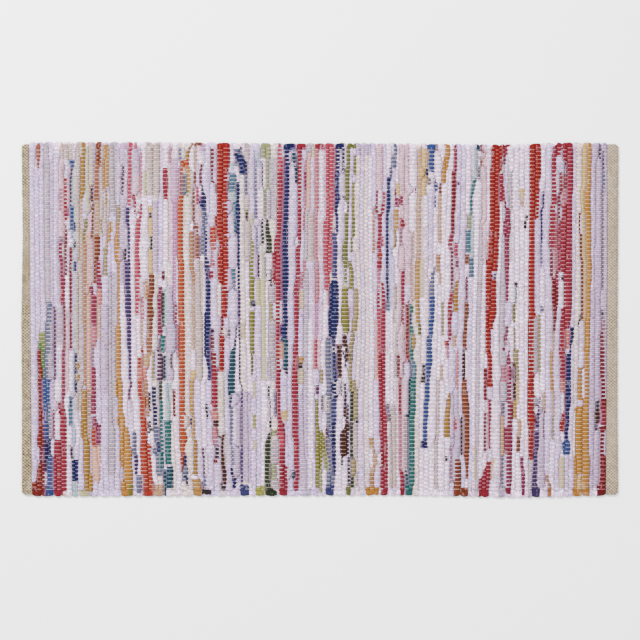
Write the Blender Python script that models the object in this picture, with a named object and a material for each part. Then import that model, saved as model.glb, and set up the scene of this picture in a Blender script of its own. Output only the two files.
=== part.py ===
"""Rag rug, 1 m by 0.6 m: one woven field of cloth strips, with a hemmed cotton heading at each end.

The rug lies flat on Z = 0. Its length runs along X, from the left heading to the right one, and its
width along Y, with the top selvedge at +Y. Each strip of rag is a rib that crosses the whole width, and
turns back at the selvedge, where it shows as a rounded bulge over two ribs.

Lengths in the tables are centimetres read on the rug: x from its left end, y down from its top edge.
"""

import math

import bmesh
import bpy

CM = 0.01
MM = 0.001

# ---- driving sizes ----
RUG_LENGTH = 100.0          # cm
RUG_MIDDLE_Y = 29.9         # cm below the top edge
PICKS = 116                 # ribs of rag
GAP = 0.3 * MM              # between the field and a heading

# Ribs that are easy to follow, by number from the left, and their centre at five heights.
# Half numbers are the field's own ends.
GUIDE_HEIGHTS = (1.0, 15.5, 30.0, 44.5, 59.0)
GUIDES = (
    # rib    x at each of the five heights
    (-0.5, (1.25, 1.40, 1.50, 1.60, 1.75)),
    (6, (6.55, 6.60, 7.00, 7.10, 7.10)),
    (13, (12.60, 12.50, 12.15, 12.05, 12.40)),
    (18, (15.80, 16.00, 16.35, 16.50, 17.00)),
    (20, (18.15, 17.90, 17.95, 18.15, 18.90)),
    (22, (19.80, 19.40, 19.60, 20.20, 20.95)),
    (24, (21.60, 21.60, 21.40, 21.70, 22.60)),
    (26, (23.30, 23.30, 23.15, 23.35, 24.10)),
    (27, (24.10, 24.15, 24.00, 24.35, 25.20)),
    (29, (25.80, 25.65, 25.75, 25.70, 26.30)),
    (30, (26.95, 26.65, 26.85, 26.95, 27.25)),
    (32, (28.70, 28.60, 28.95, 28.85, 29.30)),
    (35, (31.20, 31.00, 31.15, 31.35, 31.80)),
    (36, (31.95, 31.95, 32.15, 32.45, 32.85)),
    (37, (33.25, 33.30, 33.60, 33.65, 33.95)),
    (38, (34.20, 34.15, 34.20, 34.35, 34.75)),
    (40, (36.20, 36.35, 36.50, 36.80, 37.20)),
    (43, (38.40, 38.45, 38.70, 39.05, 39.00)),
    (45, (40.50, 40.35, 40.40, 40.50, 40.50)),
    (47, (42.20, 42.20, 42.10, 42.30, 42.60)),
    (48, (43.30, 43.10, 42.95, 43.10, 43.75)),
    (49, (44.40, 44.20, 44.15, 44.10, 44.50)),
    (51, (46.60, 46.35, 45.95, 45.90, 46.20)),
    (55, (49.50, 49.20, 49.35, 49.40, 49.90)),
    (57, (51.10, 50.95, 50.90, 50.60, 50.70)),
    (59, (52.90, 52.60, 52.35, 52.35, 52.20)),
    (61, (54.75, 54.25, 54.10, 54.15, 54.20)),
    (63, (55.85, 55.60, 56.00, 55.40, 55.45)),
    (69, (59.80, 59.85, 59.95, 60.10, 60.40)),
    (71, (61.60, 61.30, 61.35, 61.60, 61.90)),
    (74, (63.80, 63.70, 63.85, 63.40, 63.75)),
    (76, (65.50, 65.50, 65.35, 65.45, 65.40)),
    (79, (68.60, 68.50, 68.70, 67.95, 67.80)),
    (81, (70.90, 70.00, 70.10, 69.90, 69.50)),
    (84, (72.70, 72.15, 71.75, 72.00, 72.20)),
    (87, (74.90, 74.75, 74.50, 74.45, 74.60)),
    (92, (78.95, 78.75, 78.00, 77.70, 77.40)),
    (93, (79.80, 79.65, 78.75, 78.45, 78.20)),
    (96, (81.20, 81.40, 81.35, 81.75, 81.60)),
    (101, (85.65, 85.55, 85.50, 85.40, 85.20)),
    (105, (89.25, 88.90, 89.20, 89.10, 88.80)),
    (107, (91.00, 90.75, 90.50, 90.75, 90.60)),
    (108, (91.85, 91.80, 91.40, 91.50, 91.30)),
    (111, (94.00, 93.95, 93.90, 93.40, 93.20)),
    (112, (95.05, 95.00, 94.80, 94.55, 94.40)),
    (115, (97.40, 97.45, 97.35, 97.35, 97.10)),
    (115.5, (98.10, 98.15, 98.10, 98.00, 97.90)),
)

# The drift of the two selvedges: x along the rug, then the y of the top one and of the bottom one.
SELVEDGES = (
    (0, 0.30, 59.25),
    (8, 0.15, 59.35),
    (30, 0.10, 59.45),
    (45, 0.25, 59.40),
    (60, 0.20, 59.30),
    (70, 0.35, 59.45),
    (82, 0.45, 59.70),
    (90, 0.10, 59.60),
    (100, 0.20, 59.35),
)

# The rag turns back after every second rib, but for these, where a rag starts or ends.
TOP_SINGLE_TURNS = (0, 83, 100)
BOTTOM_SINGLE_TURNS = (68, 77)
TURN_DEPTH = 0.22           # cm, how far the selvedge draws in between two turns
TURN_REACH = 0.85           # cm, from the selvedge to the first warp thread

# ---- heights ----
VALLEY_HEIGHT = 5.3 * MM    # between two ribs
RIB_BASE = 4.5 * MM         # a rib's height is this, and more the wider it is
RIB_PER_CM = 2.8 * MM
TURN_HEIGHT = 6.4 * MM
TURN_MIDDLE = 3.2 * MM      # height of the selvedge's outermost line
TURN_UNDERCUT = 0.18        # cm, from that line in to where the underside touches the floor
SHOULDER = 0.22             # of a rib's width, from its centre to each raised edge

# Rows along the rug's width between the two rows of turns.
FIELD_ROWS = (1.05, 15.5, 30.0, 44.5, 58.4)

# ---- headings ----
LEFT_HEADING_OUTER = (0.22, 0.05, 0.12, 0.02, 0.10)
RIGHT_HEADING_OUTER = (99.80, 99.98, 99.90, 99.97, 99.85)
HEADING_TOP = 0.42          # cm, a little short of the field's selvedge
HEADING_BOTTOM = 59.20
HEADING_STATIONS = 15
HEADING_CORNER = 0.5        # cm
# Across the hem, from the field outwards: share of its width, then its height.
HEM_SECTION = (
    (0.00, 0.0 * MM),
    (0.00, 4.0 * MM),
    (0.10, 4.7 * MM),
    (0.62, 4.9 * MM),
    (0.86, 4.4 * MM),
    (0.97, 3.2 * MM),
    (1.00, 2.0 * MM),
    (0.94, 0.0 * MM),
)

# ---- colours, linear ----
RAG_COLOUR = (0.62, 0.57, 0.63)
HEADING_COLOUR = (0.46, 0.41, 0.29)


def blend(before, start, end, after, t):
    """A smooth curve from start to end, t from 0 to 1, that also heeds the points before and after."""
    slope_in = (end - before) / 2
    slope_out = (after - start) / 2
    rise = t * t * (3 - 2 * t)
    leave = t * (1 - t) ** 2
    arrive = t * t * (t - 1)
    return start + (end - start) * rise + slope_in * leave + slope_out * arrive


def along(values, y):
    """The value at y cm below the top edge, from the values at the guide heights."""
    last = len(GUIDE_HEIGHTS) - 1
    step = GUIDE_HEIGHTS[1] - GUIDE_HEIGHTS[0]
    place = min(max((y - GUIDE_HEIGHTS[0]) / step, 0), last)
    i = min(int(place), last - 1)
    before = values[max(i - 1, 0)]
    after = values[min(i + 2, last)]
    return blend(before, values[i], values[i + 1], after, place - i)


def rib_x(number, y):
    """Where the rib of that number runs at height y, in cm. A half number is the line between two ribs."""
    for (low, low_x), (high, high_x) in zip(GUIDES, GUIDES[1:]):
        if number <= high:
            share = (number - low) / (high - low)
            return along(low_x, y) * (1 - share) + along(high_x, y) * share
    raise ValueError(number)


def selvedge_y(x, column):
    """The selvedge's mean y at x: column 1 for the top one, 2 for the bottom one."""
    for low, high in zip(SELVEDGES, SELVEDGES[1:]):
        if x <= high[0]:
            share = (x - low[0]) / (high[0] - low[0])
            return low[column] * (1 - share) + high[column] * share
    return SELVEDGES[-1][column]


def turns(singles):
    """(first line, last line) of each turn along a selvedge, in rib numbers."""
    found = []
    rib = 0
    while rib < PICKS:
        count = 1 if rib in singles or rib == PICKS - 1 else 2
        found.append((rib - 0.5, rib - 0.5 + count))
        rib += count
    return found


def turn_place(number, runs):
    """0 at the middle of the turn that holds this number, 1 at its two ends."""
    for first, last in runs:
        if number <= last:
            return abs(2 * (number - first) / (last - first) - 1)
    return 1.0


def rib_height(number, y):
    """The field's height at a column: low on the line between two ribs, high on a rib's shoulders."""
    beside = abs(number - round(number))
    if beside > 0.4:
        return VALLEY_HEIGHT
    centre = round(number)
    width = rib_x(centre + 0.5, y) - rib_x(centre - 0.5, y)
    return RIB_BASE + RIB_PER_CM * width


def columns():
    """The rib numbers of the field's columns: the line before each rib, then its two shoulders."""
    numbers = []
    for rib in range(PICKS):
        numbers += [rib - 0.5, rib - SHOULDER, rib + SHOULDER]
    return numbers + [PICKS - 0.5]


def to_row(x, y, z):
    """A place in rug centimetres, with its height in metres, as row coordinates."""
    return ((x - RUG_LENGTH / 2) * CM, (RUG_MIDDLE_Y - y) * CM, z)


def turn_rows(number, column, inward, runs):
    """The three rows that round off one selvedge at a column, from the floor up to the top of the turn."""
    place = turn_place(number, runs)
    y_end = 1.0 if column == 1 else 58.6
    x = rib_x(number, y_end)
    edge = selvedge_y(x, column) + inward * TURN_DEPTH * place ** 4
    crest = VALLEY_HEIGHT + (TURN_HEIGHT - VALLEY_HEIGHT) * (1 - place ** 3)
    return [
        to_row(x, edge + inward * TURN_UNDERCUT, 0.0),
        to_row(x, edge, TURN_MIDDLE),
        to_row(x, edge + inward * TURN_REACH * 0.35, crest),
    ]


def field_column(number, top_runs, bottom_runs):
    """One column of the field, from the floor at the top selvedge over to the floor at the bottom one."""
    points = turn_rows(number, 1, 1, top_runs)
    for y in FIELD_ROWS:
        points.append(to_row(rib_x(number, y), y, rib_height(number, y)))
    points += reversed(turn_rows(number, 2, -1, bottom_runs))
    return points


def sleeve(name, runs):
    """A closed solid from equal runs of points: a grid over them, bridged underneath, with filled ends."""
    bm = bmesh.new()
    long_way = len(runs) - 1
    round_way = len(runs[0]) - 1
    bmesh.ops.create_grid(bm, x_segments=long_way, y_segments=round_way, size=1)
    for vertex in bm.verts:
        i = round((vertex.co.x + 1) / 2 * long_way)
        j = round((vertex.co.y + 1) / 2 * round_way)
        vertex.co = runs[i][j]
        vertex.tag = j in (0, round_way)
    rims = [edge for edge in bm.edges if edge.is_boundary and all(vertex.tag for vertex in edge.verts)]
    bmesh.ops.bridge_loops(bm, edges=rims)
    bmesh.ops.holes_fill(bm, edges=bm.edges, sides=round_way + 1)
    bmesh.ops.recalc_face_normals(bm, faces=bm.faces)
    bmesh.ops.triangulate(bm, faces=[face for face in bm.faces if len(face.verts) > 4])
    mesh = bpy.data.meshes.new(name)
    bm.to_mesh(mesh)
    bm.free()
    solid = bpy.data.objects.new(name, mesh)
    bpy.context.collection.objects.link(solid)
    return solid


def cloth_material(name, colour):
    material = bpy.data.materials.new(name)
    material.use_nodes = True
    shader = material.node_tree.nodes["Principled BSDF"]
    shader.inputs["Base Color"].default_value = (*colour, 1.0)
    shader.inputs["Roughness"].default_value = 0.95
    shader.inputs["Metallic"].default_value = 0.0
    return material


def woven_field():
    """All the ribs and both selvedges, as one ribbed slab with a flat underside."""
    top_runs = turns(TOP_SINGLE_TURNS)
    bottom_runs = turns(BOTTOM_SINGLE_TURNS)
    runs = [field_column(number, top_runs, bottom_runs) for number in columns()]
    solid = sleeve("woven_field", runs)
    solid.data.materials.append(cloth_material("rag_weave", RAG_COLOUR))
    return solid


def end_heading(name, outer_edge, end_line, inward):
    """A heading turned under into a hem. inward is +1 at the left end, where the field lies at larger x."""
    runs = []
    for station in range(HEADING_STATIONS + 1):
        share = station / HEADING_STATIONS
        y = HEADING_TOP + (HEADING_BOTTOM - HEADING_TOP) * (1 - math.cos(math.pi * share)) / 2
        from_end = min(y - HEADING_TOP, HEADING_BOTTOM - y)
        corner = max(0.0, 1 - from_end / HEADING_CORNER) ** 2 * HEADING_CORNER
        inner = rib_x(end_line, y) - inward * GAP / CM
        outer = along(outer_edge, y) + inward * corner
        runs.append([to_row(inner + (outer - inner) * across, y, z) for across, z in HEM_SECTION])
    solid = sleeve(name, runs)
    solid.data.materials.append(cloth_material(name + "_cotton", HEADING_COLOUR))
    return solid


def main():
    for old in list(bpy.data.objects):
        bpy.data.objects.remove(old, do_unlink=True)
    woven_field()
    end_heading("end_band_left", LEFT_HEADING_OUTER, -0.5, 1)
    end_heading("end_band_right", RIGHT_HEADING_OUTER, PICKS - 0.5, -1)


main()
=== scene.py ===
"""Rag rug, 1 m by 0.6 m: the woven look, modelled over the frame's three solids.

Each of the 116 ribs of rag swells between the warp threads and turns back at the selvedge. Each of the
174 warp threads runs over one rib and under the next. Each heading is cotton cloth folded under as a hem.

Lengths in the tables are centimetres read on the rug: x from its left end, y down from its top edge.
"""

import math

import bpy
import numpy as np
from bpy.props import FloatProperty, FloatVectorProperty, IntProperty, PointerProperty
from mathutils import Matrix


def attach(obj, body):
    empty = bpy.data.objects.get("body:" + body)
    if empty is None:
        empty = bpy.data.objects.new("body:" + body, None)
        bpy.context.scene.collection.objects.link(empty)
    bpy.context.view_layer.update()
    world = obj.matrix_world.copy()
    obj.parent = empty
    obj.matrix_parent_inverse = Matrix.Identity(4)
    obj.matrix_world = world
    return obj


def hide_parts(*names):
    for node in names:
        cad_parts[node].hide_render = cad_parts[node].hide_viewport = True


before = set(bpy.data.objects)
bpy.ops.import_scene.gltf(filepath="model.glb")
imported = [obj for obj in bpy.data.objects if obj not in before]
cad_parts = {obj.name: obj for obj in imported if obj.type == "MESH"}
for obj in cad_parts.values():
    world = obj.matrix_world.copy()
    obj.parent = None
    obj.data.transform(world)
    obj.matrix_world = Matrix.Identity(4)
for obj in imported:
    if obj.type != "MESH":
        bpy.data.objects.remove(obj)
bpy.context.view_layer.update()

bl_info = {
    "name": "Rag Rug",
    "version": (1, 0, 0),
    "blender": (4, 5, 0),
    "location": "3D View > Sidebar > Rag Rug",
    "description": "Weaves a rag rug of cloth strips on cotton warp, with hemmed headings",
    "category": "Add Mesh",
}

CM = 0.01
MM = 0.001

# ---- the rug's layout, as in the frame ----
RUG_LENGTH = 100.0          # cm
RUG_MIDDLE_Y = 29.9         # cm below the top edge
PICKS = 116                 # ribs of rag
SECTIONS = 4                # the field is made in this many lengths of equal rib count
GAP = 0.03                  # cm, between the field and a heading

# Ribs that are easy to follow, by number from the left, and their centre at five heights.
GUIDE_HEIGHTS = (1.0, 15.5, 30.0, 44.5, 59.0)
GUIDES = (
    # rib    x at each of the five heights
    (-0.5, (1.25, 1.40, 1.50, 1.60, 1.75)),
    (6, (6.55, 6.60, 7.00, 7.10, 7.10)),
    (13, (12.60, 12.50, 12.15, 12.05, 12.40)),
    (18, (15.80, 16.00, 16.35, 16.50, 17.00)),
    (20, (18.15, 17.90, 17.95, 18.15, 18.90)),
    (22, (19.80, 19.40, 19.60, 20.20, 20.95)),
    (24, (21.60, 21.60, 21.40, 21.70, 22.60)),
    (26, (23.30, 23.30, 23.15, 23.35, 24.10)),
    (27, (24.10, 24.15, 24.00, 24.35, 25.20)),
    (29, (25.80, 25.65, 25.75, 25.70, 26.30)),
    (30, (26.95, 26.65, 26.85, 26.95, 27.25)),
    (32, (28.70, 28.60, 28.95, 28.85, 29.30)),
    (35, (31.20, 31.00, 31.15, 31.35, 31.80)),
    (36, (31.95, 31.95, 32.15, 32.45, 32.85)),
    (37, (33.25, 33.30, 33.60, 33.65, 33.95)),
    (38, (34.20, 34.15, 34.20, 34.35, 34.75)),
    (40, (36.20, 36.35, 36.50, 36.80, 37.20)),
    (43, (38.40, 38.45, 38.70, 39.05, 39.00)),
    (45, (40.50, 40.35, 40.40, 40.50, 40.50)),
    (47, (42.20, 42.20, 42.10, 42.30, 42.60)),
    (48, (43.30, 43.10, 42.95, 43.10, 43.75)),
    (49, (44.40, 44.20, 44.15, 44.10, 44.50)),
    (51, (46.60, 46.35, 45.95, 45.90, 46.20)),
    (55, (49.50, 49.20, 49.35, 49.40, 49.90)),
    (57, (51.10, 50.95, 50.90, 50.60, 50.70)),
    (59, (52.90, 52.60, 52.35, 52.35, 52.20)),
    (61, (54.75, 54.25, 54.10, 54.15, 54.20)),
    (63, (55.85, 55.60, 56.00, 55.40, 55.45)),
    (69, (59.80, 59.85, 59.95, 60.10, 60.40)),
    (71, (61.60, 61.30, 61.35, 61.60, 61.90)),
    (74, (63.80, 63.70, 63.85, 63.40, 63.75)),
    (76, (65.50, 65.50, 65.35, 65.45, 65.40)),
    (79, (68.60, 68.50, 68.70, 67.95, 67.80)),
    (81, (70.90, 70.00, 70.10, 69.90, 69.50)),
    (84, (72.70, 72.15, 71.75, 72.00, 72.20)),
    (87, (74.90, 74.75, 74.50, 74.45, 74.60)),
    (92, (78.95, 78.75, 78.00, 77.70, 77.40)),
    (93, (79.80, 79.65, 78.75, 78.45, 78.20)),
    (96, (81.20, 81.40, 81.35, 81.75, 81.60)),
    (101, (85.65, 85.55, 85.50, 85.40, 85.20)),
    (105, (89.25, 88.90, 89.20, 89.10, 88.80)),
    (107, (91.00, 90.75, 90.50, 90.75, 90.60)),
    (108, (91.85, 91.80, 91.40, 91.50, 91.30)),
    (111, (94.00, 93.95, 93.90, 93.40, 93.20)),
    (112, (95.05, 95.00, 94.80, 94.55, 94.40)),
    (115, (97.40, 97.45, 97.35, 97.35, 97.10)),
    (115.5, (98.10, 98.15, 98.10, 98.00, 97.90)),
)

TOP, BOTTOM = 1, 2          # the two selvedges' places in a row of the next table
# The drift of the selvedges: x along the rug, then the y of the top one and of the bottom one.
SELVEDGES = (
    (0, 0.08, 59.45),
    (8, 0.02, 59.50),
    (30, 0.10, 59.45),
    (45, 0.25, 59.40),
    (60, 0.20, 59.30),
    (70, 0.35, 59.45),
    (82, 0.45, 59.70),
    (90, 0.10, 59.60),
    (100, 0.20, 59.35),
)
# A rag turns back after every second rib, but for these, where a rag starts or ends.
TOP_SINGLE_TURNS = (0, 83, 100)
BOTTOM_SINGLE_TURNS = (68, 77)

# ---- the selvedge's turns ----
TURN_DEPTH = 0.24           # cm, how far the selvedge draws in between two turns
TURN_HEIGHT = 6.6           # mm, a turn's middle
TURN_MIDDLE = 3.2           # mm, height of the selvedge's outermost line
# From the outermost line in to the first warp thread, as shares of that reach and of the rise.
TURN_TOP = ((0.0, 0.0), (0.03, 0.40), (0.12, 0.74), (0.30, 0.96), (0.55, 1.0), (0.80, 0.97))
TURN_UNDER = ((0.04, 0.45), (0.20, 0.93), (0.55, 1.0))
TURN_ENDS = 4               # the higher, the nearer to a turn's two ends the selvedge draws in
TURN_SINKS = 3              # and sinks
EDGE_WAVES = ((0.03, 2.3, 0.0), (0.02, 5.1, 1.0))    # cm, then waves along x, and a start
PLAIN_EDGES = (0.25, 59.35)  # cm, the selvedges' mean y

# ---- across one rib ----
VALLEY = -0.5               # a rib's four columns, in ribs from its centre
SHOULDER = 0.32
SHOULDER_RISE = 0.80        # of the rise from the valley to the crest
VALLEY_TOP = 4.5            # mm, the line between two ribs as seen from above
VALLEY_UNDER = 1.7          # mm, and from below
TIE = 0.001                 # of a rib: the line between two ribs counts as the right one's
DENT_SHARPNESS = 1.4        # the higher, the narrower the dent under a thread
UNDER_SWELL = 0.4           # of a bulge, on the underside
SHOULDER_LEAN = 0.5         # of the side press, at a rib's shoulders

# ---- headings ----
# Their outer edges' x, in cm, at the five guide heights.
LEFT_HEADING_OUTER = (-0.06, 0.10, -0.12, -0.04, -0.05)
RIGHT_HEADING_OUTER = (100.06, 100.00, 99.92, 99.90, 100.02)
HEADING_TOP = 0.42          # cm, a little short of the field's selvedge
HEADING_BOTTOM = 59.20
HEADING_CORNER = 0.5        # cm, how far its corners are rounded
HEADING_STATIONS = 340
HEADING_EVEN_MIX = 0.15     # of a spacing of the stations that is closer near the ends
HEADING_EDGE_WAVES = ((0.02, 3.1, 0.0), (0.012, 7.7, 1.0))     # cm, then waves along y, and a start
HEADING_RIPPLES = ((0.10, 9.5, 0.0), (0.07, 23.0, 2.0))        # mm, and the same
RIPPLES_ABOVE = 4.0         # mm
HEM_CLOTH = 0.93            # of a heading's two layers, the cloth that a hem takes
HEM_SMOOTH = 40             # degrees: faces of a hem that meet at less are shaded as one
# Round the folded cloth's cut edge, from its lower layer out to the fold and back: share of the hem's
# width from the field outwards, then height in mm.
HEM_SECTION = (
    (0.05, 0.0), (0.30, 0.0), (0.60, 0.0), (0.86, 0.0), (0.95, 0.4), (0.99, 1.4), (1.00, 2.4),
    (0.99, 3.4), (0.95, 4.3), (0.86, 4.7), (0.66, 4.9), (0.45, 4.9), (0.25, 4.9), (0.08, 4.8),
    (0.00, 4.3), (0.00, 2.9), (0.04, 2.6), (0.40, 2.6), (0.80, 2.6), (0.88, 2.45), (0.80, 2.3),
    (0.40, 2.3), (0.08, 2.3), (0.03, 1.9), (0.03, 0.5),
)

# ---- the rags' colours, as seen, in 255ths ----
DYES = {
    "white": (240, 216, 242),
    "lavender_white": (218, 192, 236),
    "cream": (228, 208, 200),
    "pale_grey": (172, 158, 170),
    "beige": (192, 172, 162),
    "pale_lilac": (190, 164, 200),
    "pale_blue": (164, 172, 202),
    "pale_teal": (154, 184, 186),
    "pale_rose": (222, 178, 194),
    "pale_khaki": (192, 172, 140),
    "pale_olive": (184, 178, 132),
    "pale_gold": (226, 186, 104),
    "lilac": (190, 144, 188),
    "peach": (212, 156, 134),
    "tan": (190, 148, 110),
    "caramel": (182, 128, 86),
    "khaki": (154, 138, 94),
    "sage": (142, 146, 104),
    "light_olive": (170, 170, 80),
    "olive": (142, 138, 56),
    "moss": (122, 126, 58),
    "mustard": (190, 140, 52),
    "gold": (202, 152, 78),
    "amber": (218, 152, 58),
    "copper": (170, 100, 72),
    "rust": (154, 76, 40),
    "orange": (216, 92, 44),
    "vermilion": (202, 70, 46),
    "brick": (152, 40, 28),
    "red": (184, 32, 24),
    "crimson": (174, 42, 66),
    "dark_red": (144, 26, 32),
    "maroon": (132, 58, 66),
    "salmon": (204, 114, 104),
    "rose": (200, 70, 96),
    "dusty_rose": (186, 104, 120),
    "pink": (236, 120, 150),
    "raspberry": (160, 50, 84),
    "magenta": (152, 46, 88),
    "orchid": (188, 112, 176),
    "mauve": (144, 102, 120),
    "plum": (98, 58, 82),
    "violet": (74, 50, 106),
    "navy": (26, 32, 98),
    "indigo": (66, 66, 122),
    "blue": (60, 82, 146),
    "slate": (98, 100, 130),
    "sea_blue": (80, 114, 136),
    "sky": (104, 136, 190),
    "teal": (44, 118, 116),
    "dark_teal": (30, 78, 98),
    "green": (46, 126, 114),
    "leaf": (96, 138, 66),
    "lime": (152, 162, 66),
    "dark_green": (48, 62, 34),
    "brown": (142, 76, 42),
    "dark_brown": (74, 34, 22),
    "black": (56, 48, 50),
    "grey": (108, 96, 106),
}
# The warp's and the headings' cotton, each with the painted shade in its hollows.
COTTONS = {
    "warp": (226, 214, 214),
    "warp_shade": (186, 174, 174),
    "heading": (188, 170, 134),
    "heading_shade": (58, 48, 40),
    "heading_fade": (194, 176, 162),
}
DYE_DEPTH = 0.17            # of a strong dye's brightness as seen, in the cloth itself
PALE_LIFT = 1.42            # what is added to that for a pale one
DYE_PURITY = 0.16           # how far a dye's weaker channels are lowered
# The plain ribs' whites, and how often each turns up.
WHITES = (("white", 8), ("lavender_white", 6), ("cream", 2), ("pale_grey", 1))

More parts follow.
